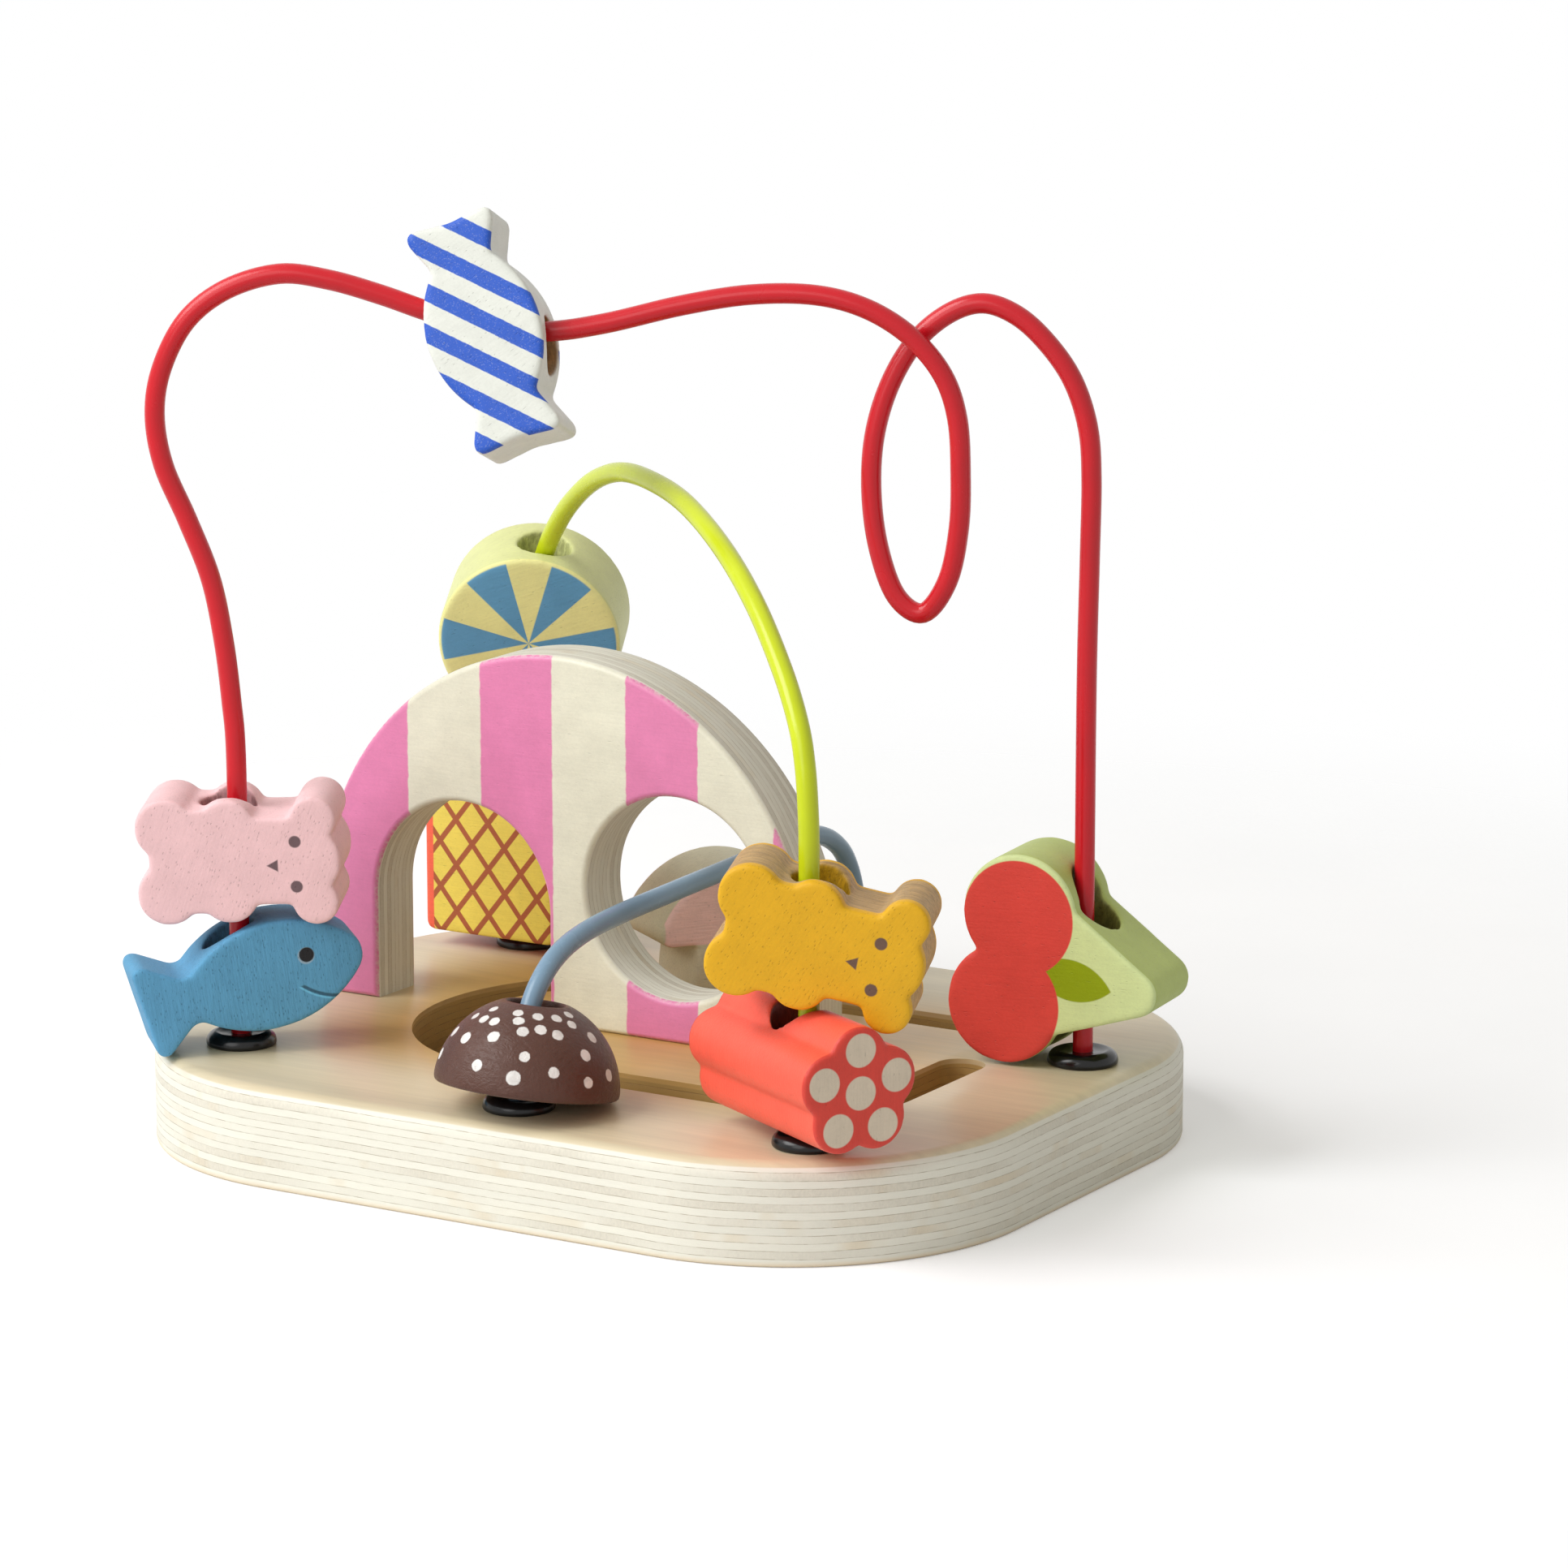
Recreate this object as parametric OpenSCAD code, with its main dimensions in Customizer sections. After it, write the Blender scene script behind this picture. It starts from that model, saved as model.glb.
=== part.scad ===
// Wooden bead maze: a plywood board with a striped arch, three bent wires that carry
// shaped wooden beads, and a mushroom that slides and turns in a track cut in the board.
// Origin at the middle of the board's underside, X along the board, Z up, millimetres.

/* [Board] */
// Length of the board
board_l = 190; // [180:1:230]
// Width of the board
board_w = 156; // [150:1:180]
// Thickness of the board
board_t = 20; // [17:0.5:26]
// Radius of the board's corners
corner_r = 50; // [30:1:60]
// Round-over of the board's top edge
top_round = 3.5; // [1:0.5:5]
// Round-over of the board's bottom edge
bottom_round = 0.8; // [0.4:0.1:2]

/* [Arch] */
// Thickness of the arch
arch_t = 14; // [10:0.5:18]
// Radius of the arch's outline
arch_r = 58.5; // [56:0.5:64]
// Height of the outline's centre above the board
arch_spring = 17.3; // [14:0.1:24]
// Place of the arch's centre along the board
arch_x = -22; // [-26:1:-18]
// Width of the doorway
door_w = 42; // [34:1:44]
// Height of the doorway's straight sides
door_spring = 22.5; // [18:0.5:26]
// Doorway's centre, left of the arch's centre
door_left = 23.4; // [22:0.1:26]
// Radius of the round window
window_r = 20.7; // [16:0.1:21]
// Window's centre, right of the middle of the arch's right half
window_right = -2.05; // [-4:0.05:0]
// Height of the window's centre above the board
window_h = 29.3; // [26:0.1:32]

/* [Track] */
// Width of the track's slot
track_w = 10; // [9:0.5:12]
// Radius of the track's round left end, on its centre line
track_r = 36.35; // [34:0.05:38]
// Place of the round end's centre along the board
track_x = -12.5; // [-15:0.5:-9]
// Radius of the track's front right corner, on its centre line
track_corner_r = 16; // [12:0.5:20]
// Place of the right run along the board
track_right_x = 62.3; // [58:0.1:66]
// How far the right run's tip lies behind the board's middle
track_tip_y = 8; // [0:0.5:12]
// Place of the back run's closed end along the board
track_back_x = 58; // [50:0.5:62]
// Width of the recess under the slot
recess_w = 18; // [16:0.5:20]
// Depth of the recess from the underside
recess_h = 7; // [6:0.5:9]

/* [Wires] */
// Diameter of the wires
wire_d = 4; // [3:0.25:5]
// Depth of the wires' holes in the board
foot_depth = 14; // [8:0.5:15]
// Height of the red wire's top bend above the board
red_rise = 154; // [146:1:180]
// Height of the lime wire's top above the board
lime_rise = 112; // [108:1:118]
// Height of the blue wire's level run above the board
blue_rise = 33; // [32.5:0.5:38]
// Sideways distance between the red loop's two strands
loop_depth = 6.4; // [5.6:0.1:9]

/* [Collars] */
// Diameter of the collars
collar_d = 14; // [12:0.5:18]
// Height of the collars
collar_h = 2.8; // [2.5:0.1:5]

/* [Bear beads] */
// Length of a bear from feet to head
bear_l = 40.6; // [34:0.5:44]
// Height of a bear across its arms
bear_h = 25.8; // [22:0.2:28]
// Thickness of a bear
bear_t = 18; // [15:0.5:20]
// How far the pink bear sits off its wire, towards its feet
bear_aside = 1.4; // [0:0.1:2]
// How far the yellow bear sits behind its wire
bear_back = 1.2; // [0:0.1:1.5]

/* [Fish bead] */
// Length of the fish's body as a pointed oval
fish_body_l = 40; // [36:0.5:44]
// Height of the fish's body
fish_h = 21.4; // [19:0.2:24]
// Width of the fish's tail
fish_tail_w = 22; // [18:0.5:23]
// Length of the fish's tail behind its bore
fish_tail_l = 20.8; // [19:0.2:22]
// Thickness of the fish
fish_t = 18; // [15:0.5:20]

/* [Striped candy bead] */
// Length of the candy over both fans
candy_l = 46.5; // [40:0.5:50]
// Width of the candy's body
candy_w = 22.8; // [20:0.2:26]
// Length of the candy's body as a pointed oval
candy_body_l = 37.8; // [34:0.2:40]
// Width of the candy's fans
candy_fan_w = 20; // [16:0.5:22]
// Thickness of the candy
candy_t = 17; // [15:0.5:20]

/* [Cherry bead] */
// Radius of the two cherry lobes
cherry_r = 11.9; // [10:0.1:12]
// Distance between the lobes' centres
cherry_pitch = 18.6; // [17:0.2:20]
// Distance from the lobes to the point where the flanks would meet
cherry_tip = 36.3; // [34:0.1:38]
// Radius of the rounded tip
cherry_tip_r = 4.6; // [3:0.1:5.5]
// Thickness of the cherry bead
cherry_t = 18.8; // [16:0.2:20]

/* [Wheel candy bead] */
// Diameter of the wheel candy
wheel_d = 38.2; // [34:0.1:40]
// Thickness of the wheel candy
wheel_t = 20; // [17:0.5:21]

/* [Ice cream bead] */
// Width of the ice cream
cone_w = 32.5; // [28:0.5:36]
// Height of the ice cream
cone_h = 44.5; // [38:0.5:45]
// Thickness of the ice cream
cone_t = 22; // [18:0.5:24]

/* [Log bead] */
// Length of the licorice log
log_l = 43.5; // [38:0.5:46]
// How far the log sits off its wire, along its length
log_aside = 3; // [0:0.1:3]
// Radius of the log's lobes
lobe_r = 6.05; // [5:0.1:6.6]
// Distance of the lobes' centres from the log's axis
lobe_ring = 6.45; // [6:0.05:8]

/* [Dome bead] */
// Radius of the chocolate dome
dome_r = 18; // [16:0.5:20]

/* [Mushroom] */
// Width of the mushroom's cap
cap_w = 40; // [34:0.5:42]
// Height of the mushroom's cap
cap_h = 16.2; // [14:0.2:16.6]
// Width of the mushroom's stem
stem_w = 21; // [18:0.5:26]
// Height of the mushroom's stem
stem_h = 12; // [10:0.1:12.4]
// Thickness of the mushroom
mushroom_t = 20; // [16:0.5:22]
// Place of the mushroom along the track's back run
mushroom_x = -9; // [-12:0.5:10]

/* [Slider and screws] */
// Diameter of the slider's pin
pin_d = 8; // [6:0.5:8.5]
// Depth of the pin in the mushroom
pin_grip = 10; // [6:0.5:12]
// Diameter of the retaining disc
disc_d = 16; // [13:0.5:17]
// Thickness of the retaining disc
disc_t = 3; // [2:0.25:3.5]
// Diameter of the screws' shanks
screw_d = 3.5; // [2.5:0.25:4]
// Diameter of the screws' heads
screw_head_d = 7; // [5.5:0.25:8]
// Height of the screws' heads
screw_head_h = 2; // [1.5:0.1:2.5]
// Length of the arch screws' shanks in the arch
screw_grip = 6; // [4:0.5:7]

/* [Fits] */
// Bore of the beads
bore_d = 11; // [10.5:0.1:12]
// Gap between a bead and what it rests on
seat_gap = 0.3; // [0.2:0.05:0.6]
// Radial clearance of the turning pin
run_gap = 0.06; // [0.03:0.01:0.1]
// Radial clearance round the wires and the screws
wire_gap = 0.15; // [0.1:0.05:0.3]

/* [Hidden] */
$fn = 96;
// Sides of a wire and rings between two points of its route
wire_sides = 10;
wire_steps = 2;
// Overrun of every cut
cut = 1;
// Rounding of tips and of the fish's nose in the bead outlines
tip_r = 1.8;
nose_r = 5;

// Places of the wires' feet, as shares of the board's length and width
red_left_share = [-0.36, -0.329];
red_right_share = [0.431, 0.143];
lime_front_share = [0.353, -0.37];
lime_back_share = [-0.348, 0.313];
blue_front_share = [0.032, -0.408];
blue_back_share = [0.032, 0.408];
function foot(share) = [share[0] * board_l, share[1] * board_w];
red_left = foot(red_left_share);
red_right = foot(red_right_share);
lime_front = foot(lime_front_share);
lime_back = foot(lime_back_share);
blue_front = foot(blue_front_share);
blue_back = foot(blue_back_share);

// Routes of the wires from foot to foot: share of the span, of the rise and of half the loop's depth
red_route_shares = [
    [0, 0, 0], [0, 0.2, 0], [0, 0.38, 0], [-0.004, 0.45, 0], [-0.012, 0.53, 0], [-0.026, 0.61, 0],
    [-0.052, 0.685, 0], [-0.079, 0.755, 0], [-0.088, 0.82, 0], [-0.078, 0.88, 0], [-0.048, 0.94, 0],
    [0, 0.98, 0], [0.062, 1, 0], [0.12, 0.993, 0], [0.18, 0.975, 0], [0.24, 0.953, 0],
    [0.3, 0.937, 0], [0.37, 0.931, 0], [0.44, 0.942, 0], [0.53, 0.966, 0], [0.61, 0.981, -0.2],
    [0.685, 0.982, -0.5], [0.745, 0.966, -0.8], [0.796, 0.932, -1], [0.832, 0.885, -1],
    [0.849, 0.83, -0.95], [0.853, 0.76, -0.8], [0.851, 0.69, -0.55], [0.838, 0.622, -0.25],
    [0.81, 0.58, 0], [0.778, 0.6, 0.25], [0.757, 0.66, 0.5], [0.748, 0.73, 0.75],
    [0.751, 0.8, 0.9], [0.768, 0.865, 1], [0.797, 0.92, 1], [0.836, 0.957, 0.9],
    [0.876, 0.971, 0.7], [0.915, 0.957, 0.45], [0.95, 0.924, 0.2], [0.98, 0.878, 0.05],
    [0.998, 0.82, 0], [1.003, 0.755, 0], [1.002, 0.65, 0], [1, 0.5, 0], [1, 0.25, 0], [1, 0, 0]];
lime_route_shares = [
    [0, 0, 0], [0, 0.3, 0], [0, 0.5, 0], [0.003, 0.57, 0], [0.013, 0.645, 0], [0.034, 0.708, 0],
    [0.083, 0.782, 0], [0.17, 0.871, 0], [0.275, 0.94, 0], [0.4, 0.987, 0], [0.52, 1, 0],
    [0.63, 0.991, 0], [0.73, 0.953, 0], [0.82, 0.891, 0], [0.885, 0.826, 0], [0.93, 0.762, 0],
    [0.964, 0.69, 0], [0.986, 0.613, 0], [0.997, 0.54, 0], [1, 0.46, 0], [1, 0.25, 0], [1, 0, 0]];
blue_route_shares = [
    [0, 0, 0], [0.002, 0.2, 0], [0.012, 0.4, 0], [0.028, 0.548, 0], [0.056, 0.69, 0], [0.102, 0.815, 0],
    [0.17, 0.893, 0], [0.273, 0.932, 0], [0.46, 0.955, 0], [0.65, 0.975, 0], [0.8, 0.997, 0],
    [0.855, 0.99, 0], [0.905, 0.935, 0], [0.95, 0.82, 0], [0.98, 0.65, 0], [0.996, 0.45, 0],
    [1, 0.25, 0], [1, 0, 0]];

// Angles of the beads: turn about the upright, lean towards the front, roll clockwise
bear_pink_pose = [28, 2, -1.5];
bear_yellow_pose = [22, 2, 12];
fish_pose = [44, -2.5, -14.5];
candy_pose = [21, -16, -21.4];
candy_bore_turn = 8.4;
candy_bore_roll = 28.6;
cherry_pose = [6, 0, 10];
wheel_pose = [26, 14, 9];
cone_pose = [0, 0, 0];
log_pose = [61.5, 0, 0];
dome_pose = [31, -8, 7];
mushroom_turn = 56;

// Outline tables, as shares of each bead's length and height; a third share is of the tip rounding
bear_lobe_shares = [[-0.283, 0.258, 0.238], [0.016, 0.266, 0.221], [0.436, 0.324, 0.18]];
bear_pink_lift_share = 0.034;
bear_yellow_lift_share = 0.014;
bear_head_share = 0.377;
bear_head_r_share = 0.299;
bear_core_shares = [[-0.371, 0.26], [-0.3, 0.41], [0.03, 0.41], [0.11, 0.345], [0.44, 0.345]];
fish_ahead_share = 0.1375;
fish_tail_shares = [
    [-0.35, 0.43, 0], [-0.58, 0.43, 0], [-1.03, 1, 1], [-0.98, -1.03, 1], [-0.58, -0.46, 0],
    [-0.35, -0.43, 0]];
candy_fan_shares = [[0.5, 0.5, 0], [1, 1, 1], [0.95, 0, 0], [1, -1, 1], [0.5, -0.5, 0]];
cherry_flank_share = 0.876;
cherry_bore_share = 0.325;
cone_shift_share = -0.09;
lobe_core_share = 1.05;
cap_round_share = 0.075;
stem_foot_share = 1.12;
arch_screw_shares = [-0.885, 0.12, 0.8];
candy_along_share = 0.309;
candy_height_share = 0.938;
candy_hang_share = 0.6;
wheel_ahead_share = 0.033;
wheel_height_share = 0.627;
dome_shift_share = [0.05, 0.067];
dome_lift_share = 0.3;

// Levels and derived sizes
board_top = board_t;
collar_top = board_t + collar_h;
bore_r = bore_d / 2;
wire_r = wire_d / 2;

// One outline point for each pair of shares
function spread(shares, length, height) = [for (s = shares) [s[0] * length, s[1] * height]];
// A closed outline from the shares of its upper half
function both_halves(shares) = concat(
    [for (s = shares) [s[0], -s[1]]],
    [for (i = [len(shares) - 1 : -1 : 0]) shares[i]]);
// Radius of the two arcs that enclose a pointed oval
function oval_r(length, width) = (length * length + width * width) / (4 * width);
// Drop of a circle from its top at a distance from the middle
function sag(radius, distance) = radius - sqrt(radius * radius - distance * distance);

// Points along a route, rounded between the given points
function bend(a, b, c, d, t) =
    (2 * b + (c - a) * t + (2 * a - 5 * b + 4 * c - d) * t * t + (3 * b - a - 3 * c + d) * t * t * t) / 2;
function rounded_route(p) = concat(
    [for (i = [0 : len(p) - 2], k = [0 : wire_steps - 1])
        bend(p[max(i - 1, 0)], p[i], p[i + 1], p[min(i + 2, len(p) - 1)], k / wire_steps)],
    [p[len(p) - 1]]);
function unit(v) = v / norm(v);
// Places of a wire's points: from foot to foot in the upright plane through both feet
function wire_route(start, end, rise, shares) = let (
    span = end - start,
    aside = unit([span[1], -span[0], 0]))
    concat(
        [[start[0], start[1], board_top - foot_depth]],
        rounded_route([for (s = shares)
            [start[0] + span[0] * s[0], start[1] + span[1] * s[0], board_top + rise * s[1]]
                - aside * s[2] * loop_depth / 2]),
        [[end[0], end[1], board_top - foot_depth]]);

// A round bar along a route that stays near one upright plane
module bar(route, aside) {
    last = len(route) - 1;
    rings = [for (i = [0 : last]) let (
        ahead = unit(route[min(i + 1, last)] - route[max(i - 1, 0)]),
        side = unit(aside - (aside * ahead) * ahead),
        over = cross(ahead, side))
        for (k = [0 : wire_sides - 1])
            route[i] + wire_r * (cos(360 * k / wire_sides) * side + sin(360 * k / wire_sides) * over)];
    walls = [for (i = [0 : last - 1], k = [0 : wire_sides - 1]) let (
        a = i * wire_sides + k,
        b = i * wire_sides + (k + 1) % wire_sides)
        for (face = [[a, b, b + wire_sides], [a, b + wire_sides, a + wire_sides]]) face];
    first_end = [for (k = [1 : wire_sides - 2]) [0, k + 1, k]];
    tail = last * wire_sides;
    last_end = [for (k = [1 : wire_sides - 2]) [tail, tail + k, tail + k + 1]];
    polyhedron(rings, concat(walls, first_end, last_end));
}

module wire(start, end, rise, shares) {
    span = end - start;
    bar(wire_route(start, end, rise, shares), unit([span[1], -span[0], 0]));
}

// A polygon with rounded tips: each point gives its place and the radius of its rounding
module soft_polygon(points) {
    n = len(points);
    places = [for (p = points) [p[0], p[1]]];
    corners = [for (i = [0 : n - 1]) let (
        back = unit(places[(i + n - 1) % n] - places[i]),
        ahead = unit(places[(i + 1) % n] - places[i]),
        half = acos(back * ahead) / 2,
        run = points[i][2] / tan(half))
        [places[i] + run * back, places[i] + run * ahead,
            places[i] + unit(back + ahead) * points[i][2] / sin(half), points[i][2]]];
    polygon([for (c = corners, k = c[3] > 0 ? [0, 1] : [0]) c[k]]);
    for (c = corners)
        if (c[3] > 0)
            translate(c[2])
                circle(c[3]);
}

// Stands a flat outline up, with its front towards -Y
module upright(thickness) {
    rotate([90, 0, 0])
        linear_extrude(thickness, center = true)
            children();
}

module posed(place, pose) {
    translate(place)
        rotate([0, 0, pose[0]])
            rotate([pose[1], 0, 0])
                rotate([0, pose[2], 0])
                    children();
}

module bore(length) {
    cylinder(length, r = bore_r, center = true);
}

// Board and arch

// Cross-section of the board from its middle to an edge, with both edges rounded
module board_edge(half) {
    intersection() {
        square([half, board_t]);
        union() {
            square([half - top_round, board_t]);
            translate([0, bottom_round])
                square([half, board_t - top_round - bottom_round]);
            square([half - bottom_round, bottom_round + cut]);
            translate([half - bottom_round, bottom_round])
                circle(bottom_round);
            translate([half - top_round, board_t - top_round])
                circle(top_round);
        }
    }
}

module board_section(width) {
    board_edge(width / 2);
    mirror([1, 0, 0])
        board_edge(width / 2);
}

module plain_board() {
    corner_x = board_l / 2 - corner_r;
    corner_y = board_w / 2 - corner_r;
    rotate([90, 0, 0])
        linear_extrude(2 * corner_y, center = true)
            board_section(board_l);
    rotate([90, 0, 90])
        linear_extrude(2 * corner_x, center = true)
            board_section(board_w);
    for (x = [-corner_x, corner_x], y = [-corner_y, corner_y])
        translate([x, y, 0])
            rotate_extrude()
                board_edge(corner_r);
}

// Flat outline of the track, open to the right
module track(width) {
    corner_x = track_right_x - track_corner_r;
    corner_y = -track_r + track_corner_r;
    difference() {
        translate([track_x, 0])
            circle(track_r + width / 2);
        translate([track_x, 0])
            circle(track_r - width / 2);
        translate([track_x, -2 * track_r])
            square([2 * track_r, 4 * track_r]);
    }
    translate([track_x, -track_r - width / 2])
        square([corner_x - track_x, width]);
    translate([track_x, track_r - width / 2])
        square([track_back_x - track_x, width]);
    translate([track_back_x, track_r])
        circle(width / 2);
    intersection() {
        difference() {
            translate([corner_x, corner_y])
                circle(track_corner_r + width / 2);
            translate([corner_x, corner_y])
                circle(track_corner_r - width / 2);
        }
        translate([corner_x, corner_y - 2 * track_corner_r])
            square(2 * track_corner_r);
    }
    translate([track_right_x - width / 2, corner_y])
        square([width, track_tip_y - corner_y]);
    translate([track_right_x, track_tip_y])
        circle(width / 2);
}

function arch_screw_x(share) = arch_x + share * arch_r;

module base_board() {
    color("burlywood")
        difference() {
            plain_board();
            translate([0, 0, -cut])
                linear_extrude(board_t + 2 * cut)
                    track(track_w);
            translate([0, 0, -cut])
                linear_extrude(recess_h + cut)
                    track(recess_w);
            for (place = [red_left, red_right, lime_front, lime_back, blue_front, blue_back])
                translate([place[0], place[1], board_top - foot_depth])
                    cylinder(foot_depth + cut, r = wire_r + wire_gap);
            for (share = arch_screw_shares)
                translate([arch_screw_x(share), 0, 0]) {
                    translate([0, 0, -cut])
                        cylinder(board_t + 2 * cut, d = screw_d + 2 * wire_gap);
                    translate([0, 0, -cut])
                        cylinder(screw_head_h + wire_gap + cut, d = screw_head_d + 2 * wire_gap);
                }
        }
}

module arch_outline() {
    difference() {
        union() {
            translate([arch_x, arch_spring])
                circle(arch_r);
            translate([arch_x - arch_r, 0])
                square([2 * arch_r, arch_spring]);
        }
        translate([arch_x - 2 * arch_r, -2 * arch_r])
            square([4 * arch_r, 2 * arch_r]);
        translate([arch_x - door_left, door_spring])
            circle(door_w / 2);
        translate([arch_x - door_left - door_w / 2, -cut])
            square([door_w, door_spring + cut]);
        translate([arch_x + arch_r / 2 + window_right, window_h])
            circle(window_r);
    }
}

module arch_board() {
    color("hotpink")
        difference() {
            translate([0, 0, board_top])
                upright(arch_t)
                    arch_outline();
            for (share = arch_screw_shares)
                translate([arch_screw_x(share), 0, board_top - cut])
                    cylinder(screw_grip + wire_gap + cut, d = screw_d + 2 * wire_gap);
        }
}

// A round-headed screw that stands on its head
module screw(shank) {
    cylinder(screw_head_h, d = screw_head_d);
    cylinder(screw_head_h + shank, d = screw_d);
}

module arch_screws() {
    color("silver")
        for (share = arch_screw_shares)
            translate([arch_screw_x(share), 0, wire_gap])
                screw(board_t - screw_head_h + screw_grip - wire_gap);
}

// Wires and collars

module red_wire() {
    color("crimson")
        wire(red_left, red_right, red_rise, red_route_shares);
}

module lime_wire() {
    color("yellowgreen")
        wire(lime_front, lime_back, lime_rise, lime_route_shares);
}

module blue_wire() {
    color("lightsteelblue")
        wire(blue_front, blue_back, blue_rise, blue_route_shares);
}

// A domed plastic disc round a wire's foot
module collar(place) {
    collar_r = collar_d / 2;
    rim_r = collar_h / 2;
    color("black")
        translate([place[0], place[1], board_top])
            rotate_extrude()
                difference() {
                    union() {
                        square([collar_r - rim_r, collar_h]);
                        translate([collar_r - rim_r, rim_r])
                            circle(rim_r);
                    }
                    translate([-collar_d, -cut])
                        square([collar_d + wire_r + wire_gap, collar_h + 2 * cut]);
                }
}

module collar_red_left() {
    collar(red_left);
}

module collar_red_right() {
    collar(red_right);
}

module collar_lime_front() {
    collar(lime_front);
}

module collar_lime_back() {
    collar(lime_back);
}

module collar_blue_front() {
    collar(blue_front);
}

module collar_blue_back() {
    collar(blue_back);
}

// Beads on the red wire

fish_arc_r = oval_r(fish_body_l, fish_h);
fish_arc_up = fish_arc_r - fish_h / 2;
fish_ahead = fish_ahead_share * fish_body_l;
// Lowest points of the belly and of the tail below the bore's middle, as the fish leans
fish_belly_drop = fish_arc_r + fish_ahead * sin(fish_pose[2]) - fish_arc_up * cos(fish_pose[2]);
fish_tail_drop = -fish_tail_l * sin(fish_pose[2]) + (fish_tail_w / 2 - tip_r) * cos(fish_pose[2]);
fish_edge_drop = fish_t / 2 * sin(abs(fish_pose[1]));
fish_rest = max(collar_h + fish_belly_drop, fish_tail_drop - top_round / 4);
fish_z = board_top + seat_gap + fish_edge_drop + fish_rest;
// Top of the fish's back, and how far it lies right of the wire
fish_back_z = fish_z + fish_arc_r - fish_ahead * sin(fish_pose[2]) - fish_arc_up * cos(fish_pose[2]);
fish_back_right = fish_ahead * cos(fish_pose[2]) - fish_arc_up * sin(fish_pose[2]);

module fish_outline() {
    nose_x = sqrt(pow(fish_arc_r - nose_r, 2) - pow(fish_arc_up, 2));
    nose_start = nose_x * fish_arc_r / (fish_arc_r - nose_r);
    intersection() {
        translate([fish_ahead, -fish_arc_up])
            circle(fish_arc_r);
        translate([fish_ahead, fish_arc_up])
            circle(fish_arc_r);
        translate([fish_ahead + nose_start - 2 * fish_body_l, -fish_h])
            square([2 * fish_body_l, 2 * fish_h]);
    }
    translate([fish_ahead + nose_x, 0])
        circle(nose_r);
    soft_polygon([for (s = fish_tail_shares) [s[0] * fish_tail_l, s[1] * fish_tail_w / 2, s[2] * tip_r]]);
}

module blue_fish() {
    color("steelblue")
        posed([red_left[0], red_left[1], fish_z], fish_pose)
            difference() {
                upright(fish_t)
                    fish_outline();
                bore(2 * fish_h);
            }
}

module bear_outline() {
    for (lobe = bear_lobe_shares, side = [-1, 1])
        translate([lobe[0] * bear_l, side * lobe[1] * bear_h])
            circle(lobe[2] * bear_h);
    translate([bear_head_share * bear_l, 0])
        circle(bear_head_r_share * bear_h);
    polygon(spread(both_halves(bear_core_shares), bear_l, bear_h));
}

module bear(place, pose) {
    posed(place, pose)
        difference() {
            upright(bear_t)
                bear_outline();
            bore(2 * bear_h);
        }
}

// Depth of a bear's arms below the bore's middle
bear_arm_drop = (bear_lobe_shares[1][1] + bear_lobe_shares[1][2]) * bear_h;
bear_pink_lean_drop = bear_t / 2 * (sin(bear_pink_pose[1]) - sin(fish_pose[1]));
bear_pink_rest = fish_back_z - sag(fish_arc_r, fish_back_right) + bear_pink_lean_drop;
bear_pink_z = bear_pink_rest + bear_arm_drop + bear_pink_lift_share * bear_h + seat_gap;
bear_pink_aside = -bear_aside * [cos(bear_pink_pose[0]), sin(bear_pink_pose[0])];

module pink_bear() {
    color("pink")
        bear(concat(red_left + bear_pink_aside, bear_pink_z), bear_pink_pose);
}

module candy_outline() {
    arc_r = oval_r(candy_body_l, candy_w);
    intersection() {
        translate([candy_w / 2 - arc_r, 0])
            circle(arc_r);
        translate([arc_r - candy_w / 2, 0])
            circle(arc_r);
    }
    for (turn = [0, 180])
        rotate(turn)
            soft_polygon([for (s = candy_fan_shares)
                [s[1] * candy_fan_w / 2, s[0] * candy_l / 2, s[2] * tip_r]]);
}

// The candy hangs on the wire by the top of its slanted bore
red_span = red_right - red_left;
candy_place = [
    red_left[0] + candy_along_share * red_span[0],
    red_left[1] + candy_along_share * red_span[1],
    board_top + candy_height_share * red_rise - candy_hang_share * (bore_r - wire_r)];

module striped_candy() {
    color("white")
        posed(candy_place, candy_pose)
            difference() {
                upright(candy_t)
                    candy_outline();
                rotate([0, 90 + candy_bore_roll, candy_bore_turn])
                    bore(2 * candy_l);
            }
}

cherry_back = cherry_bore_share * cherry_tip;
cherry_drop = cherry_r - cherry_back * sin(cherry_pose[2]) + cherry_pitch / 2 * cos(cherry_pose[2]);
cherry_z = board_top + 2 * seat_gap + cherry_drop;

module cherry_outline() {
    flank = cherry_flank_share * (cherry_pitch / 2 + cherry_r);
    translate([-cherry_back, 0]) {
        for (side = [-1, 1])
            translate([0, side * cherry_pitch / 2])
                circle(cherry_r);
        soft_polygon([[0, -flank, 0], [cherry_tip, 0, cherry_tip_r], [0, flank, 0]]);
    }
}

module cherry_block() {
    color("palegreen")
        posed([red_right[0], red_right[1], cherry_z], cherry_pose)
            difference() {
                upright(cherry_t)
                    cherry_outline();
                bore(4 * cherry_pitch);
            }
}

// Beads on the lime wire

lobe_count = 5;
log_drop = lobe_ring * cos(180 / lobe_count) + lobe_r;
log_z = collar_top + seat_gap + log_drop;
log_shift = log_aside * [-sin(log_pose[0]), cos(log_pose[0])];

module log_outline() {
    circle(lobe_core_share * lobe_ring);
    for (k = [0 : lobe_count - 1])
        rotate(90 + 360 * k / lobe_count)
            translate([lobe_ring, 0])
                circle(lobe_r);
}

module licorice_log() {
    color("tomato")
        posed(concat(lime_front + log_shift, log_z), log_pose)
            difference() {
                upright(log_l)
                    log_outline();
                bore(4 * lobe_ring);
            }
}

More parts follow.
